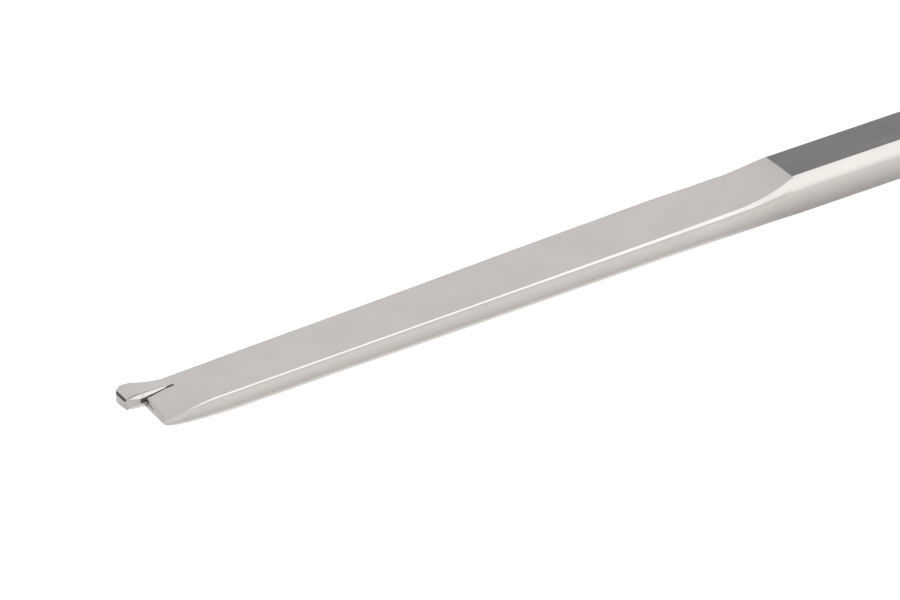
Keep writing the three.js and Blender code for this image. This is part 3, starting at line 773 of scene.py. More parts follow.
# %% Tang rows
THREAD_X, TANG_END_X = 568.6, 589.9
TANG_RADIUS, TANG_FLAT, THREAD_RADIUS = 7.0, 5.75, 6.0
THREAD_PITCH, THREAD_DEPTH, THREAD_STEP = 1.75, 0.55, 0.29
around = np.arctan2(bar_ring[-1, :, 0], bar_ring[-1, :, 1])


def tang_row(x, radius, flat=None, thread=0.0):
    """A round section on the tang, with its flats or with the groove of a thread."""
    r = radius - thread * np.abs(((x / THREAD_PITCH - around / (2 * np.pi)) % 1.0) * 2 - 1)
    y, z = r * np.sin(around), r * np.cos(around)
    if flat is not None:
        z = np.clip(z, -flat, flat)
    return np.stack([np.full_like(y, x), y, z], -1)


tang_rows = [tang_row(HANDLE_X, BAR_RADIUS - 0.5), tang_row(HANDLE_X, TANG_RADIUS + 0.4)]
tang_rows += [tang_row(x, TANG_RADIUS, TANG_FLAT) for x in (HANDLE_X + 0.4, 470.0, 520.0, THREAD_X)]
tang_rows += [tang_row(x, THREAD_RADIUS, None, THREAD_DEPTH * min(1.0, (x - THREAD_X) / 1.5))
              for x in np.arange(THREAD_X + 0.1, TANG_END_X - 0.6, THREAD_STEP)]
tang_rows.append(tang_row(TANG_END_X, THREAD_RADIUS - 0.8))
lever_rows = np.concatenate([lever_rows, np.array(tang_rows)])
print("rows of the lever in all:", len(lever_rows) + len(finger_rows))

# %% [markdown]
# ## Meshes from rows
# Every piece is a list of rows of points that are joined by four-sided faces. One helper turns points into
# a clean mesh object, one joins two rows, and one makes a closed solid from many rows. Points that fall
# together are welded, and all faces are turned outwards.


# %% Build a mesh
def new_mesh(name, points, faces, weld=1e-5):
    """A mesh from points in millimetres on the lever's drawing. Points closer than the weld, which is in
    metres, are joined."""
    mesh = bpy.data.meshes.new(name)
    mesh.from_pydata((np.asarray(points) * MM + ORIGIN).tolist(), [], faces)
    cleaner = bmesh.new()
    cleaner.from_mesh(mesh)
    bmesh.ops.remove_doubles(cleaner, verts=cleaner.verts, dist=weld)
    bmesh.ops.recalc_face_normals(cleaner, faces=cleaner.faces)
    cleaner.to_mesh(mesh)
    cleaner.free()
    piece = bpy.data.objects.new(name, mesh)
    bpy.context.scene.collection.objects.link(piece)
    return piece


def bridge(first, second, count):
    """Faces between two closed rows whose points start at the given places in the list."""
    return [(first + i, first + (i + 1) % count, second + (i + 1) % count, second + i) for i in range(count)]


def solid(name, rows, looped=False):
    """A closed mesh from rows of points. Its ends are capped, or its last row meets its first."""
    rows = np.asarray(rows)
    count = rows.shape[1]
    faces = []
    for row in range(len(rows) if looped else len(rows) - 1):
        faces += bridge(row * count, ((row + 1) % len(rows)) * count, count)
    if not looped:
        last = (len(rows) - 1) * count
        faces += [tuple(range(count)), tuple(range(last, last + count))]
    return new_mesh(name, rows.reshape(-1, 3), faces)


print("faces between two rows of four points:", bridge(0, 4, 4))

# %% [markdown]
# ## Outlines, turning and drawing
# Most fittings are turned, cut from a bar of some outline, or both. `turned` spins a profile and `drawn`
# pulls an outline along one axis. Corners are rounded in the outline, before it is spun or pulled, so that
# every edge has the small break that a real one has.

# %% Outlines and the solids made from them
AXES = {"x": (0, 1, 2), "y": (1, 2, 0), "z": (2, 0, 1)}


def soft_outline(corners, steps=4):
    """Points of a closed outline. Each corner is (a, b, cut) and is rounded by cutting that length back."""
    made = []
    for i, (a, b, cut) in enumerate(corners):
        here = np.array([a, b], float)
        ends = []
        for other in (corners[i - 1], corners[(i + 1) % len(corners)]):
            way = np.array(other[:2], float) - here
            ends.append(here + way * min(cut / np.linalg.norm(way), 0.48))
        made += [curve(ends[0], here, ends[1], t) for t in np.linspace(0, 1, steps)]
    return np.array(made)


def round_rectangle(width, height, corner, steps=7):
    """A rectangle about the middle, with true quarter-circle corners."""
    points = []
    for quarter, (side_a, side_b) in enumerate(((1, 1), (-1, 1), (-1, -1), (1, -1))):
        middle = np.array([side_a * (width / 2 - corner), side_b * (height / 2 - corner)])
        for angle in np.linspace(0, np.pi / 2, steps) + quarter * np.pi / 2:
            points.append(middle + corner * np.array([np.cos(angle), np.sin(angle)]))
    return np.array(points)


def laid(along, first, second, axis="x", place=(0, 0, 0)):
    """Points whose length runs along an axis of the drawing, moved to a place on it."""
    order = AXES[axis]
    points = np.zeros((*np.shape(first), 3))
    points[..., order[0]], points[..., order[1]], points[..., order[2]] = along, first, second
    return points + np.array(place, float)


def turned(name, profile, axis="x", place=(0, 0, 0), segments=96, looped=False, flute=0.0, flutes=0):
    """A solid of revolution from (along, radius) points, with flutes where a point has a third mark."""
    angle = np.linspace(0, 2 * np.pi, segments, endpoint=False)
    rows = []
    for along, radius, *fluted in profile:
        r = radius - (flute * (0.5 - 0.5 * np.cos(angle * flutes)) if fluted else 0.0)
        rows.append(laid(along, r * np.cos(angle), r * np.sin(angle), axis, place))
    return solid(name, rows, looped)


def drawn(name, outline, start, end, axis="x", place=(0, 0, 0)):
    """A straight prism from an outline."""
    return solid(name, [laid(along, outline[:, 0], outline[:, 1], axis, place) for along in (start, end)])


print("corners of a rounded square of 2 mm reach", round_rectangle(2, 2, 0.5).max(0).tolist())

# %% [markdown]
# ## Carving and fitting
# `carve` takes one solid out of another or adds it, as a drill or a weld would. `soften` breaks sharp
# edges, and `settle` bakes such a change into the mesh. `fit` hands a finished piece to the frame, which
# carries it on its body in the place of the CAD nodes. The shading keeps the normals of the broad faces,
# so that a narrow round takes the light and the flats beside it still look flat.

# %% Cut, join and hand over
BROKEN_EDGE_ANGLE = math.radians(40.0)  # sharper edges than this are broken
BROAD_FACE_WEIGHT = 80


def smooth_shade(piece, angle=30.0):
    """Smooth faces that keep the normals of their broad neighbours, with sharp lines above an angle."""
    piece.data.shade_smooth()
    piece.data.set_sharp_from_angle(angle=math.radians(angle))
    weigh = piece.modifiers.new("broad_faces_first", "WEIGHTED_NORMAL")
    weigh.keep_sharp = True
    weigh.weight = BROAD_FACE_WEIGHT


def settle(piece):
    """Turns the piece's modifiers into its mesh."""
    bpy.context.view_layer.update()
    shown = piece.evaluated_get(bpy.context.evaluated_depsgraph_get())
    made = bpy.data.meshes.new_from_object(shown)
    piece.modifiers.clear()
    before = piece.data
    piece.data = made
    bpy.data.meshes.remove(before)


def soften(piece, width):
    """Breaks the sharp edges of a solid by a width in millimetres."""
    change = piece.modifiers.new("broken_edges", "BEVEL")
    change.width = width * MM
    change.segments = 2
    change.limit_method = "ANGLE"
    change.angle_limit = BROKEN_EDGE_ANGLE
    change.harden_normals = False
    settle(piece)
    return piece


def carve(piece, other, operation="DIFFERENCE"):
    """Takes the other solid out of the piece, or joins it on, and throws the other away."""
    change = piece.modifiers.new("carving", "BOOLEAN")
    change.operation = operation
    change.solver = "EXACT"
    change.object = other
    settle(piece)
    bpy.data.objects.remove(other)


def open_edges(piece):
    """How many edges of a mesh don't have a face on both sides."""
    check = bmesh.new()
    check.from_mesh(piece.data)
    count = sum(1 for edge in check.edges if len(edge.link_faces) != 2)
    check.free()
    return count


def fit(piece, nodes, body="lever", angle=30.0):
    """Puts a finished piece on its body, in the place of the CAD nodes that it stands for."""
    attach(piece, body)
    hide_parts(*nodes)
    smooth_shade(piece, angle)
    print("%-16s faces %6d  open edges %d" % (piece.name, len(piece.data.polygons), open_edges(piece)))
    return piece


print("axes that a solid can be laid along:", sorted(AXES))

# %% [markdown]
# ## Skin the rows
# Neighbouring rows are joined by four-sided faces. Two places need faces of their own: the blade's end
# edge, between the first full section and the finger, and the finger's end face, which is closed by
# upright strips so that its round far corner stays round. The cross hole for the collar's pin is drilled
# last.

# %% Make the lever
COLLAR_PIN_X, PIN_HOLE_RADIUS = 435.8, 2.3  # the cross hole for the collar's pin
LEVER_WELD = 3e-6

full_count = lever_rows.shape[1]
part_count = finger_rows.shape[1]
points = np.concatenate([lever_rows.reshape(-1, 3), finger_rows.reshape(-1, 3)])
finger_start = len(lever_rows) * full_count
faces = []
for row in range(len(lever_rows) - 1):
    faces += bridge(row * full_count, (row + 1) * full_count, full_count)
for row in range(len(finger_rows) - 1):
    start = finger_start + row * part_count
    faces += bridge(start, start + part_count, part_count)
last_row = (len(lever_rows) - 1) * full_count
faces.append(tuple(range(last_row, last_row + full_count)))

root_start = finger_start + (len(finger_rows) - 1) * part_count
extra = [root_start + FOOT_LAST + 1 + i for i in range(UNDER_EXTRA)]
faces.append(tuple(range(FOOT_LAST, split_index + 1)) + tuple(reversed(extra)))

end_top = [finger_start + i for i in range(TOP_CHAIN)]
end_bottom = [finger_start + part_count - 1 - i for i in range(TOP_CHAIN)]
wall = [finger_start + i for i in range(TOP_CHAIN, FOOT_LAST + 1)]
for i in range(TOP_CHAIN - 2):
    faces.append((end_bottom[i], end_bottom[i + 1], end_top[i + 1], end_top[i]))
faces.append((end_bottom[-2], end_bottom[-1], *reversed(wall), end_top[-1], end_top[-2]))

lever = new_mesh("lever_forging", points, faces, LEVER_WELD)
carve(lever, turned("drill", [(-9, 0), (-9, PIN_HOLE_RADIUS), (9, PIN_HOLE_RADIUS), (9, 0)], "y",
                    (COLLAR_PIN_X, 0, 0), 32))
fit(lever, ["lever_bar"], angle=38.0)

# %% [markdown]
# ## Polished chrome
# A hard chrome plate over polished steel. It mirrors the room at a little more than half strength, with
# a faint warmth. The polishing belt leaves very fine lines along the lever, and handling leaves a faint
# haze, so the roughness varies a little and the lines are a slight bump. A painted shade darkens the
# crease at the finger's foot, and a painted dark reflection lines the chamfer on the finger's end.


# %% Start a material
def new_material(name, **constants):
    """A material, its shader with these constants, and the place on the piece as a wire."""
    material = bpy.data.materials.new(name)
    material.use_nodes = True
    shader = material.node_tree.nodes["Principled BSDF"]
    for socket, value in constants.items():
        shader.inputs[socket.replace("_", " ")].default_value = value
    wire = Wire(material.node_tree)
    return material, shader, wire.node("ShaderNodeTexCoord", output="Object")


def connect(shader, name, wire):
    wire.tree.links.new(wire.socket, shader.inputs[name])


def bumped(shader, height, strength, distance):
    """A bump from a height, at most this distance deep in metres."""
    made = height.node("ShaderNodeBump", None, {"Height": height, "Strength": strength, "Distance": distance})
    connect(shader, "Normal", made)


chrome, shader, place = new_material("polished_chrome", Metallic=1.0)
polish_lines = place.stretched((30.0, 2600.0, 2600.0)).noise(1.0, 3.0, 0.6)
cloudy = place.stretched((1.0, 1.6, 1.6)).noise(60.0, 3.0, 0.55)
plate_tone = cloudy.ramp(0.3, 0.7).blend((0.52, 0.492, 0.47, 1), (0.545, 0.515, 0.492, 1))
print("chrome starts with", len(chrome.node_tree.nodes), "nodes")

# %% [markdown]
# ## Painted shade in the crease and a painted reflection on the chamfer
# Both dark places are painted into the plate's colour, as masks in the lever's own millimetres: a painted
# shade in a thin line that follows the finger's foot and thickens at both of its ends, and a painted dark
# reflection in a narrow band along the upper edge of the finger's end. Each border is a short ramp, so that
# it is crisp without being jagged.

# %% Mask the crease and the chamfer
CHAMFER_TOP_SLANT = 0.157  # the band rises with the finger's top across the lever
along, across, upward = place.measured_from(tuple(ORIGIN)).stretched((1 / MM, 1 / MM, 1 / MM)).axes()
finger_end = along + FINGER_END_SKEW * across - FINGER_END_SKEW * FINGER_WALL_Y
# painted dark reflection: a band along the upper edge of the finger's end
chamfer_painted_reflection = (1.0 - finger_end.ramp(0.55, 0.68)) * (upward - CHAMFER_TOP_SLANT * across).ramp(0.62, 0.74)
# painted shade: a thin line along the crease at the finger's foot
off_crease = (across - FOOT_SLANT * along - FOOT_Y).math("ABSOLUTE")
thick = 0.2 + 0.12 * (1.0 - along.ramp(8.2, 10.5)) + 0.34 * along.ramp(14.0, 16.2)
crease_painted_shade = (1.0 - off_crease.ramp(thick * 0.5, thick)) * along.ramp(4.9, 5.3)
crease_painted_shade = crease_painted_shade * (1.0 - along.ramp(17.1, 17.6))
# both painted marks darken the plate's colour, and they also roughen it
dark = (crease_painted_shade * upward.ramp(-1.35, -1.1) + chamfer_painted_reflection).clamped()
connect(shader, "Base Color", dark.blend(plate_tone, (0.10, 0.095, 0.09, 1)))
connect(shader, "Roughness", 0.10 + cloudy * 0.05 + polish_lines * 0.03 + dark * 0.3)
bumped(shader, polish_lines, 0.05, 0.00002)
lever.data.materials.append(chrome)
print("chrome nodes:", len(chrome.node_tree.nodes))

# %% [markdown]
# ## The flat for markings, and the painted highlight on the bevel
# The flat behind the shoulder is masked while the rest is buffed, so it stays a darker satin field with a
# crisp border. It is where a maker would engrave a text. Here it stays bare. The near bevel carries a
# painted highlight with fine grinding strokes in it: its plate colour is paler than the plate around it,
# up to where it melts into the shoulder.

# %% Satin finish and the bevel's painted highlight
satin, shader, place = new_material("marked_flat", Metallic=1.0)
streaks = place.stretched((40.0, 900.0, 900.0)).noise(1.0, 4.0, 0.65)
cloudy = place.stretched((1.0, 1.5, 1.5)).noise(90.0, 3.0, 0.55)
tone = (streaks * 0.6 + cloudy * 0.4).ramp(0.35, 0.65)
connect(shader, "Base Color", tone.blend((0.172, 0.163, 0.168, 1), (0.208, 0.198, 0.202, 1)))
connect(shader, "Roughness", 0.24 + cloudy * 0.08 + streaks * 0.05)
bumped(shader, streaks, 0.08, 0.00003)
lever.data.materials.append(satin)

bevel_highlight_finish, shader, place = new_material("bevel_painted_highlight", Metallic=1.0)
strokes = place.stretched((300.0, 900.0, 900.0)).noise(1.0, 3.0, 0.6)
# painted highlight: a paler plate colour on the bevel, with grinding strokes in it
painted_bevel_highlight = strokes.ramp(0.3, 0.7).blend((0.585, 0.565, 0.55, 1), (0.625, 0.605, 0.59, 1))
to_shoulder = place.axes()[0].ramp(TIP_X + 0.196, TIP_X + 0.227)
connect(shader, "Base Color", to_shoulder.blend(painted_bevel_highlight, (0.533, 0.504, 0.481, 1)))
connect(shader, "Roughness", 0.12 + strokes * 0.08)
bumped(shader, strokes, 0.05, 0.00002)
lever.data.materials.append(bevel_highlight_finish)
print("finishes on the lever:", [material.name for material in lever.data.materials])

# %% [markdown]
# ## Share the faces out
# The two finishes go on the lever's own faces, picked by their place and by the way they face: the satin
# one from the shoulder's line to where the flat runs out, and the painted highlight on the near bevel. The
# rows of the skin run along both borders, so the fields end in clean lines.

# %% Paint the faces
BEVEL_START_X, BEVEL_END_X = 14.0, 228.5
SATIN, PAINTED_HIGHLIGHT = 1, 2  # places in the lever's list of materials


def lever_finish(place, facing):
    """The finish of a face of the lever, from its place in millimetres and the way it faces."""
    x, y, z = place
    if SHOULDER_X + SHOULDER_SKEW * y < x < MARKED_END_X + MARKED_RUN_OUT:
        if facing.z > 0.985 and z < MARKED_Z + 0.08 and abs(y) < FLAT_HALF_WIDTH - 0.1:
            return SATIN
    if BEVEL_START_X < x < BEVEL_END_X and -0.9 < facing.y < -0.4 and facing.z > 0.3:
        if near_corner(x) - 0.03 < -y < near_half_width(x) + 0.02:
            return PAINTED_HIGHLIGHT
    return 0


for polygon in lever.data.polygons:
    polygon.material_index = lever_finish((np.array(polygon.center) - ORIGIN) / MM, polygon.normal)
painted_faces = [polygon.material_index for polygon in lever.data.polygons]
print("faces of the marked flat:", painted_faces.count(SATIN), "of the bevel:", painted_faces.count(PAINTED_HIGHLIGHT))

# %% [markdown]
# ## Collar and its spring pin
# The collar stops the handle from sliding forward. It is turned from round bar: a sloped front, a plain
# band with two fine grooves, and a groove at the back that holds the seal. A rolled spring pin is driven
# through it and through the tang, and stands a little below the surface at both ends.

# %% Make the collar and its pin
PIN_RADIUS, PIN_BORE = 2.0, 1.3
PIN_GAP = math.radians(10.5)  # half of the open slot along the rolled pin
SINK_RADIUS, SINK_Y = 2.7, 13.75  # the wider mouth of the cross hole

collar_profile = soft_outline([
    (0.0, 7.3, 0.2), (0.0, 11.6, 0.5), (2.4, 14.0, 0.6), (8.6, 14.0, 0.1), (8.9, 13.6, 0.1),
    (9.3, 13.6, 0.1), (9.6, 14.0, 0.1), (10.4, 14.0, 0.1), (10.7, 13.6, 0.1), (11.1, 13.6, 0.1),
    (11.4, 14.0, 0.1), (13.0, 14.0, 0.5), (13.0, 11.2, 0.15), (10.9, 11.2, 0.15), (10.9, 8.8, 0.15),
    (13.0, 8.8, 0.15), (13.0, 7.3, 0.2)])
collar = turned("collar", collar_profile, place=(COLLAR_X, 0, 0), segments=128, looped=True)
mouth = [(15, 0.0), (15, SINK_RADIUS), (SINK_Y, SINK_RADIUS), (SINK_Y - 0.4, PIN_HOLE_RADIUS)]
hole_profile = [(-y, radius) for y, radius in mouth] + mouth[::-1]
carve(collar, turned("drill", hole_profile, "y", (COLLAR_PIN_X, 0, 0), 48))
fit(collar, ["bolster"])

roll = np.linspace(PIN_GAP, 2 * np.pi - PIN_GAP, 40)
round_way = np.stack([np.cos(roll), np.sin(roll)], 1)
pin_rows = []
for along, outside in ((-13.6, 1.65), (-13.1, 1.95), (-12.8, PIN_RADIUS),
                       (12.8, PIN_RADIUS), (13.1, 1.95), (13.6, 1.65)):
    section = np.concatenate([outside * round_way, PIN_BORE * round_way[::-1]])
    pin_rows.append(laid(along, section[:, 0], section[:, 1], "y", (COLLAR_PIN_X, 0, 0)))
spring_pin = solid("collar_pin", pin_rows)
fit(spring_pin, ["bolster_pin"])

# %% [markdown]
# ## Handle core
# The core is moulded in one piece over the tang: a guard at each end keeps the hand from sliding, and the
# grip between them is a rounded square so that the lever cannot roll on the bench. Its section is drawn
# along the handle, with round guard edges and a small fillet at each guard's foot.

# %% Draw the core's rows
CORE_LENGTH = 126.0
FRONT_GUARD, REAR_GUARD = 8.0, 10.0
GUARD_SIDE, GUARD_CORNER, GUARD_ROUND = 32.0, 9.0, 1.5
GRIP_SIDE, GRIP_CORNER, FOOT_ROUND = 27.0, 7.5, 1.0
CORE_END_SIDE, BORE_RADIUS, BORE_FLAT = 15.0, 7.3, 6.05
CORE_X = (core_low - Vector(ORIGIN)).x / MM


def core_row(x, side, corner):
    outline = round_rectangle(side, side, corner, 9)
    return laid(x, outline[:, 0], outline[:, 1], "x", (CORE_X, 0, 0))


def guard_edge(x, way):
    """Rows around a guard's outer edge, from its face at x inwards."""
    rows = []
    for turn in np.radians((0, 22, 45, 68, 90)):
        inset = GUARD_ROUND * (1 - math.sin(turn))
        rows.append(core_row(x + way * GUARD_ROUND * (1 - math.cos(turn)), GUARD_SIDE - 2 * inset,
                             GUARD_CORNER - inset))
    return rows


def guard_foot(x, way):
    """Rows through the fillet between the grip and a guard's inner face."""
    return [core_row(x + way * FOOT_ROUND * (1 - math.sin(turn)),
                     GRIP_SIDE + 2 * FOOT_ROUND * (1 - math.cos(turn)), GRIP_CORNER)
            for turn in np.radians((0, 30, 60, 90))]


core_rows = [core_row(0.0, CORE_END_SIDE, BORE_RADIUS)]
core_rows += guard_edge(0.0, 1)
core_rows += guard_edge(FRONT_GUARD, -1)[::-1]
core_rows += guard_foot(FRONT_GUARD, 1)[::-1]
core_rows += [core_row(x, GRIP_SIDE, GRIP_CORNER) for x in (40.0, 62.0, 84.0)]
core_rows += guard_foot(CORE_LENGTH - REAR_GUARD, -1)
core_rows += guard_edge(CORE_LENGTH - REAR_GUARD, 1)
core_rows += guard_edge(CORE_LENGTH, -1)[::-1]
core_rows.append(core_row(CORE_LENGTH, CORE_END_SIDE, BORE_RADIUS))
print("rows of the core:", len(core_rows))

# %% [markdown]
# ## Pockets and bore
# A shallow pocket on each side of the core holds a soft pad, and its rim is chamfered so that the pad can
# be pressed in. The mould forms all four, so one pocket is drawn for the top and turned to each side. The
# bore takes the tang, with the tang's two flats.

# %% Make the core
SIDES = ("top", "near", "bottom", "far")
PAD_X = CORE_X + FRONT_GUARD + 54.0  # the middle of the grip
POCKET_LENGTH, POCKET_WIDTH, POCKET_CORNER, POCKET_FLOOR = 92.6, 13.6, 5.3, 11.2


def turned_side(points, quarter):
    """Points drawn for the top side, turned to one of the four sides."""
    angle = quarter * np.pi / 2
    y = points[..., 1] * math.cos(angle) - points[..., 2] * math.sin(angle)
    z = points[..., 1] * math.sin(angle) + points[..., 2] * math.cos(angle)
    return np.stack([points[..., 0], y, z], -1)


core = solid("handle_core_skin", core_rows)
for quarter in range(len(SIDES)):
    pocket_rows = []
    for height, wider in ((POCKET_FLOOR, 0.0), (13.05, 0.0), (13.55, 0.5), (14.6, 1.55)):
        outline = round_rectangle(POCKET_LENGTH + 2 * wider, POCKET_WIDTH + 2 * wider, POCKET_CORNER + wider)
        rows = laid(height, outline[:, 0], outline[:, 1], "z", (PAD_X, 0, 0))
        pocket_rows.append(turned_side(rows, quarter))
    carve(core, solid("pocket", pocket_rows))
bore_turn = np.linspace(0, 2 * np.pi, 48, endpoint=False)
bore_z = np.clip(BORE_RADIUS * np.sin(bore_turn), -BORE_FLAT, BORE_FLAT)
bore_outline = np.stack([BORE_RADIUS * np.cos(bore_turn), bore_z], 1)
carve(core, drawn("bore", bore_outline, -1.0, CORE_LENGTH + 1.0, "x", (CORE_X, 0, 0)))
fit(core, ["handle_core"], angle=34.0)

# %% [markdown]
# ## Grip pads
# Each pad is moulded in soft rubber with nine grooves across it, so that a gloved, oily hand does not
# slip. A pad is a heightfield over its rounded outline: the top is slightly crowned, the edge is rounded
# over, and every groove has round lips and a round bottom. Its rows lie close together at the grooves and
# at the rounded ends, and far apart on the lands between.

# %% Place the pads' rows
PAD_LENGTH, PAD_WIDTH, PAD_CORNER = 92.0, 13.0, 5.0
PAD_BACK, PAD_TOP, PAD_ROUND, PAD_CROWN = 11.5, 14.3, 0.7, 0.12
GROOVES, GROOVE_PITCH, GROOVE_HALF, GROOVE_DEPTH = 9, 8.5, 1.1, 1.1
GROOVE_LIPS = (0.3, 0.6, 0.9, 1.1, 1.3, 1.45, 1.9)


def pad_height(x):
    """The pad's height along its middle, with its grooves."""
    nearest = np.clip(np.round(x / GROOVE_PITCH), -(GROOVES // 2), GROOVES // 2)
    off = np.abs(x - nearest * GROOVE_PITCH)
    return PAD_TOP - GROOVE_DEPTH * (1 - smooth(off, GROOVE_HALF - 0.75, GROOVE_HALF + 0.25))


def past(x, start, length):
    """How far x has gone past a place, on either side of the middle, as a share of a length."""
    return np.clip((np.abs(x) - start) / length, 0, 1)


middles = (np.arange(GROOVES) - GROOVES // 2) * GROOVE_PITCH
lips = [middle + side * off for middle in middles for off in (0.0, *GROOVE_LIPS) for side in (-1, 1)]
ends = PAD_LENGTH / 2 - PAD_CORNER * (1 - np.sin(np.linspace(0, np.pi / 2, 14)))
pad_x = np.array(sorted(set(np.round(np.concatenate([lips, ends, -ends]), 3))))
pad_half = PAD_WIDTH / 2 - PAD_CORNER * quarter_round(past(pad_x, PAD_LENGTH / 2 - PAD_CORNER, PAD_CORNER))
end_drop = PAD_ROUND * quarter_round(past(pad_x, PAD_LENGTH / 2 - PAD_ROUND, PAD_ROUND))
print("rows of a pad:", len(pad_x))

# %% [markdown]
# ## A pad's section
# A section goes up one side, round the edge, across the crown and down again. One section is drawn for
# each row and the rows are joined, once for each of the four sides.

# %% Make the pads
RIM = np.radians((0, 18, 36, 54, 72, 90))
ACROSS = np.concatenate([[-1.0], -np.linspace(0.92, 0.1, 6), [0.0], np.linspace(0.1, 0.92, 6), [1.0]])
CROWN_HALF = 6.0


def pad_row(x, half, drop, top):
    crown_half = half - PAD_ROUND
    rim = top - drop - PAD_ROUND
    rim_y = PAD_ROUND * np.cos(RIM)[:-1]
    rim_z = rim + (PAD_ROUND - PAD_CROWN) * np.sin(RIM)[:-1]
    y = np.concatenate([[-half, -half], -crown_half - rim_y, crown_half * ACROSS,
                        (crown_half + rim_y)[::-1], [half, half]])
    crown = rim + PAD_ROUND - PAD_CROWN * (ACROSS * crown_half / CROWN_HALF) ** 2
    z = np.concatenate([[PAD_BACK, rim - 0.2], rim_z, crown, rim_z[::-1], [rim - 0.2, PAD_BACK]])
    return laid(x, y, z, "x", (PAD_X, 0, 0))


pad_rows = [pad_row(*row) for row in zip(pad_x, pad_half, end_drop, pad_height(pad_x))]
pads = []
for quarter, side in enumerate(SIDES):
    pad = solid("pad_" + side, [turned_side(row, quarter) for row in pad_rows])
    pads.append(fit(pad, ["grip_pad_" + side], angle=50.0))

# %% [markdown]
# ## End cap
# The cap screws onto the tang's thread and covers the nut that clamps the handle. It is turned with a
# fluted band to grip by hand, and the fork for the ring stands on its rear face. A tapped hole on top
# takes the set screw that locks it. The fork's two ears are pulled from a rounded outline, and their edges
# are broken before they are joined to the cap.

# %% Make the cap
CAP_X = part_box("end_cap")[0][0]
SCREW_X = middle_x("cap_set_screw")
RING_PIN_X = middle_x("ring_pin")
FLUTES, FLUTE_DEPTH = 72, 0.4
EAR_RADIUS, EAR_IN, EAR_OUT, EAR_EDGE = 6.0, 2.6, 6.5, 0.45
EAR_ROOT = CAP_X + 21.0 - RING_PIN_X  # inside the cap's rear wall
EAR_HOLE_RADIUS = 2.8

cap_profile = [
    (20.3, 0.0), (20.3, 6.3), (11.5, 6.3), (11.3, 6.5), (11.3, 11.9), (0.2, 11.9), (0.0, 12.1), (0.0, 13.6),
    (0.15, 13.95), (0.45, 14.3), (0.9, 14.5), (1.9, 14.5), (2.1, 14.15), (2.5, 14.15), (2.7, 14.5, 1),
    (2.9, 14.5, 1), (11.0, 14.5, 1), (11.2, 14.5, 1), (11.4, 14.15), (11.8, 14.15), (12.0, 14.5),
    (18.4, 14.5), (18.8, 14.42), (19.15, 14.2), (21.65, 11.7), (22.0, 11.3), (22.22, 10.9), (22.3, 10.4),
    (22.3, 0.0)]
cap = turned("cap", cap_profile, place=(CAP_X, 0, 0), segments=6 * FLUTES, flute=FLUTE_DEPTH, flutes=FLUTES)

ear_turn = np.radians(np.linspace(-90, 90, 33))
ear_outline = np.concatenate([
    [[-EAR_RADIUS, EAR_ROOT]],
    np.stack([EAR_RADIUS * np.sin(ear_turn), EAR_RADIUS * np.cos(ear_turn)], 1),
    [[EAR_RADIUS, EAR_ROOT]]])
for start, end in ((-EAR_OUT, -EAR_IN), (EAR_IN, EAR_OUT)):
    carve(cap, soften(drawn("ear", ear_outline, start, end, "y", (RING_PIN_X, 0, 0)), EAR_EDGE), "UNION")
ear_hole = [(-9, 0), (-9, EAR_HOLE_RADIUS), (9, EAR_HOLE_RADIUS), (9, 0)]
carve(cap, turned("drill", ear_hole, "y", (RING_PIN_X, 0, 0), 48))
screw_hole = [(5.0, 0), (5.0, 2.8), (14.0, 2.8), (14.9, 3.5), (16.0, 3.5), (16.0, 0)]
carve(cap, turned("drill", screw_hole, "z", (SCREW_X, 0, 0), 48))
fit(cap, ["end_cap"], angle=32.0)

# %% [markdown]
# ## Set screw, ring pin and clip
# The set screw has a small hexagon socket and a thread of its own. The ring's pin has a domed head on one
# side of the fork and a groove on the other, and a thin spring clip snaps into that groove.

# %% Make the small fasteners
HEXAGON_HALF = 1.25  # half of the key's size across its flats
DOME_Y, DOME_HEIGHT = -8.6, 0.9
CLIP_OUT, CLIP_IN, CLIP_GAP, CLIP_EDGE = 4.6, 2.2, 1.6, 0.14

screw_profile = [(6.3, 0.0), (6.3, 1.5), (6.8, 2.1)]
screw_profile += [(z, 2.5 if i % 2 else 2.2) for i, z in enumerate(np.arange(7.0, 12.4, 0.35))]
screw_profile += [(12.45, 2.45), (12.8, 2.1), (12.8, 0.0)]
set_screw = turned("set_screw", screw_profile, "z", (SCREW_X, 0, 0), 48)
hexagon_turn = np.radians(60 * np.arange(6))
hexagon = HEXAGON_HALF / math.cos(math.pi / 6) * np.stack([np.cos(hexagon_turn), np.sin(hexagon_turn)], 1)
carve(set_screw, drawn("key", hexagon, 10.3, 14.0, "z", (SCREW_X, 0, 0)))
fit(set_screw, ["cap_set_screw"])

dome = [(DOME_Y + DOME_HEIGHT * (1 - math.cos(turn)), 2.9 + 1.1 * math.sin(turn))
        for turn in np.radians((0, 22, 45, 68, 90))]
pin_profile = [(DOME_Y, 0.0), *dome, (-7.0, 4.0), (-6.8, 3.8), (-6.8, 2.5), (6.5, 2.5), (6.5, 1.9),
               (7.9, 1.9), (7.9, 2.35), (8.05, 2.5), (9.0, 2.5), (9.35, 2.3), (9.5, 1.95), (9.5, 0.0)]
ring_pin = turned("ring_pin_turned", pin_profile, "y", (RING_PIN_X, 0, 0), 64)
fit(ring_pin, ["ring_pin"])

clip_sides = []
for radius, points, way in ((CLIP_OUT, 49, 1), (CLIP_IN, 33, -1)):
    turn = np.linspace(-way, way, points) * (math.pi - math.asin(CLIP_GAP / radius))
    clip_sides.append(radius * np.stack([np.cos(turn), np.sin(turn)], 1))
clip = soften(drawn("clip", np.concatenate(clip_sides), 6.8, 7.6, "y", (RING_PIN_X, 0, 0)), CLIP_EDGE)
fit(clip, ["pin_clip"])

# %% [markdown]
# ## Hang ring
# The ring is bent from round wire and welded to an eye that turns on the pin between the ears. It is made
# flat behind the eye and then turned down about the pin to where it hangs when the lever lies on a bench.

# %% Make the ring
RING_DROOP = math.radians(20.086)
RING_RADIUS, WIRE_RADIUS, RING_MIDDLE = 15.0, 2.1, 24.6

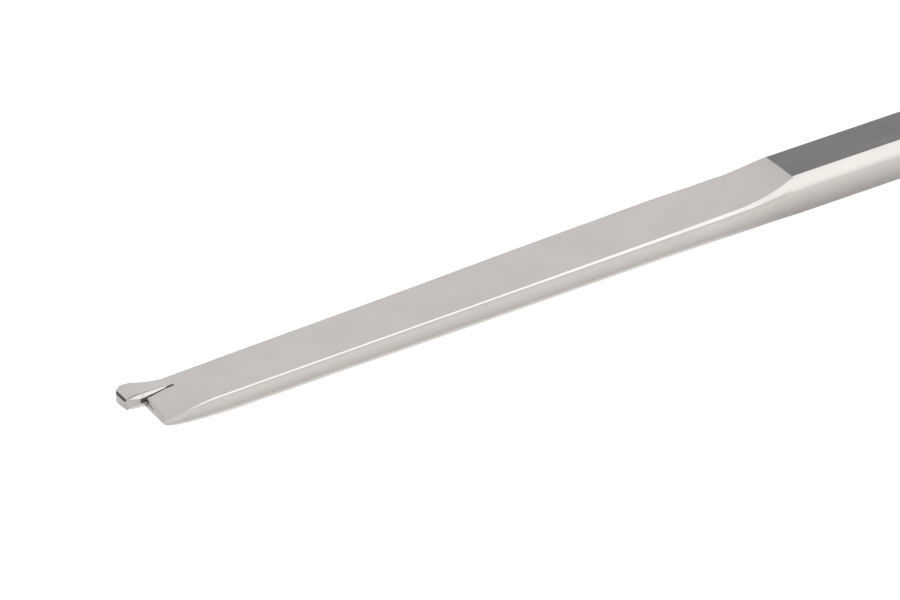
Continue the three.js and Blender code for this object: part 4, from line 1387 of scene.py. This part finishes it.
wire_turn = np.linspace(0, 2 * np.pi, 32, endpoint=False)
reach = RING_RADIUS + WIRE_RADIUS * np.cos(wire_turn)
ring_rows = [np.stack([RING_MIDDLE + reach * math.cos(bend), reach * math.sin(bend),
                       WIRE_RADIUS * np.sin(wire_turn)], 1)
             for bend in np.linspace(0, 2 * np.pi, 120, endpoint=False)]
hang_ring = solid("ring", ring_rows, looped=True)
neck = [(x, 2.05 + 0.75 * float(smooth(x, 7.0, 10.0))) for x in np.linspace(2.6, 9.9, 12)]
carve(hang_ring, turned("neck", [(2.6, 0.0), *neck, (9.9, 0.0)], segments=48), "UNION")
eye = [(-2.2, 0.0), (-2.2, 3.9), (-2.08, 4.3), (-1.8, 4.52), (-1.5, 4.6), (1.5, 4.6), (1.8, 4.52),
       (2.08, 4.3), (2.2, 3.9), (2.2, 0.0)]
carve(hang_ring, turned("eye", eye, "y", segments=64), "UNION")
eye_hole = [(-4, 0.0), (-4, 3.1), (-2.2, 3.1), (-1.9, 2.8), (1.9, 2.8), (2.2, 3.1), (4, 3.1), (4, 0.0)]
carve(hang_ring, turned("drill", eye_hole, "y", segments=48))
start = Vector(ORIGIN)
turn_down = (Matrix.Translation(start + Vector((RING_PIN_X * MM, 0, 0))) @ Matrix.Rotation(RING_DROOP, 4, "Y")
             @ Matrix.Translation(-start))
hang_ring.data.transform(turn_down)
fit(hang_ring, ["hang_ring"], body="ring", angle=40.0)

# %% [markdown]
# ## Steel, plastic and rubber
# The fittings differ more in their surface than in their colour. Turned steel keeps fine rings from the
# tool, so its bump is a noise that is squeezed along the turning axis. Spring steel is dark from
# hardening in oil. The moulded handle copies the fine spark-eroded grain of its mould, with a few dull
# rubbed patches. The pads are matt rubber with a pale bloom. All of it is noise in the piece's own
# coordinates, so it stays on the piece when the ring swings.


# %% Mix the finishes
def steel_finish(name, dull, clear, roughness, lines):
    """Bare metal: two tones that cloud into each other, and fine tool lines around the lever's axis."""
    material, shader, place = new_material(name, Metallic=1.0)
    clouds = place.stretched((1.0, 1.3, 1.3)).noise(140.0, 4.0, 0.6)
    rings = place.stretched((6500.0, 60.0, 60.0)).noise(1.0, 4.0, 0.7)
    specks = place.noise(2400.0, 2.0, 0.5).ramp(0.66, 0.74)
    tone = (clouds.ramp(0.3, 0.7) - specks * 0.35).clamped()
    connect(shader, "Base Color", tone.blend((*dull, 1), (*clear, 1)))
    connect(shader, "Roughness", roughness + clouds * 0.10 + rings * 0.06 + specks * 0.1)
    bumped(shader, rings + clouds * 0.3, lines, 0.00003)
    return material


def moulded_finish(name, dark, pale, roughness, grain_size, grain, bloom):
    """Moulded plastic or rubber: an even grain, slow changes of tone and paler rubbed or dusty patches."""
    material, shader, place = new_material(name, Specular_IOR_Level=0.35)
    coarse = place.noise(55.0, 4.0, 0.6)
    grains = place.noise(grain_size, 3.0, 0.6)
    patches = (coarse.ramp(0.5, 0.72) * place.noise(900.0, 3.0, 0.7).ramp(0.35, 0.75)).clamped()
    tone = (patches * bloom + grains * 0.35).clamped()
    connect(shader, "Base Color", tone.blend((*dark, 1), (*pale, 1)))
    connect(shader, "Roughness", (roughness + coarse * 0.12 - grains * 0.08).clamped())
    bumped(shader, grains + coarse * 0.2, grain, 0.00008)
    return material


metals = {
    "bright_steel": ((0.50, 0.495, 0.48), (0.63, 0.63, 0.62), 0.20, 0.25),
    "spring_steel": ((0.15, 0.15, 0.165), (0.25, 0.25, 0.27), 0.26, 0.15),
}
mouldings = {
    "handle_plastic": ((0.042, 0.044, 0.048), (0.085, 0.088, 0.092), 0.46, 3200.0, 0.5, 0.6),
    "grip_rubber": ((0.105, 0.11, 0.115), (0.19, 0.195, 0.20), 0.78, 5200.0, 0.35, 0.8),
    "seal_rubber": ((0.024, 0.024, 0.025), (0.045, 0.045, 0.045), 0.5, 4000.0, 0.2, 0.5),
}
finishes = {name: steel_finish(name, *look) for name, look in metals.items()}
finishes.update({name: moulded_finish(name, *look) for name, look in mouldings.items()})
print("finishes:", sorted(finishes))

# %% [markdown]
# ## Put the finishes on
# Every piece made here gets the finish of its slot. The seal, the washer, the spring and the nut are
# hidden inside the handle, and their simple shapes are complete as they come, so they keep the
# mechanical model's mesh and only take the finish.

# %% Finish the fittings
painted = {
    "bright_steel": [collar, cap, ring_pin, hang_ring],
    "spring_steel": [spring_pin, set_screw, clip],
    "handle_plastic": [core],
    "grip_rubber": pads,
}
kept = {"seal_ring": "seal_rubber", "thrust_washer": "bright_steel", "clamp_nut": "bright_steel",
        "disc_spring": "spring_steel"}
for slot_name, pieces in painted.items():
    for piece in pieces:
        piece.data.materials.clear()
        piece.data.materials.append(finishes[slot_name])
        for polygon in piece.data.polygons:
            polygon.material_index = 0
for node, slot_name in kept.items():
    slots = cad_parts[node].data.materials
    if len(slots) == 0:
        slots.append(finishes[slot_name])
    for i in range(len(slots)):
        slots[i] = finishes[slot_name]
print("pieces made here:", sum(len(pieces) for pieces in painted.values()) + 1, "kept:", sorted(kept))

# %% [markdown]
# ## Sizes
# The visual model is meant to keep the mechanical model's size, so both boxes are printed at the end of the
# script.

# %% Sizes and finish
visual_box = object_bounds()
for label, corners in (("cad", cad_box), ("visual", visual_box)):
    print(label, "in mm:", [[round(value / MM, 2) for value in corner] for corner in corners])
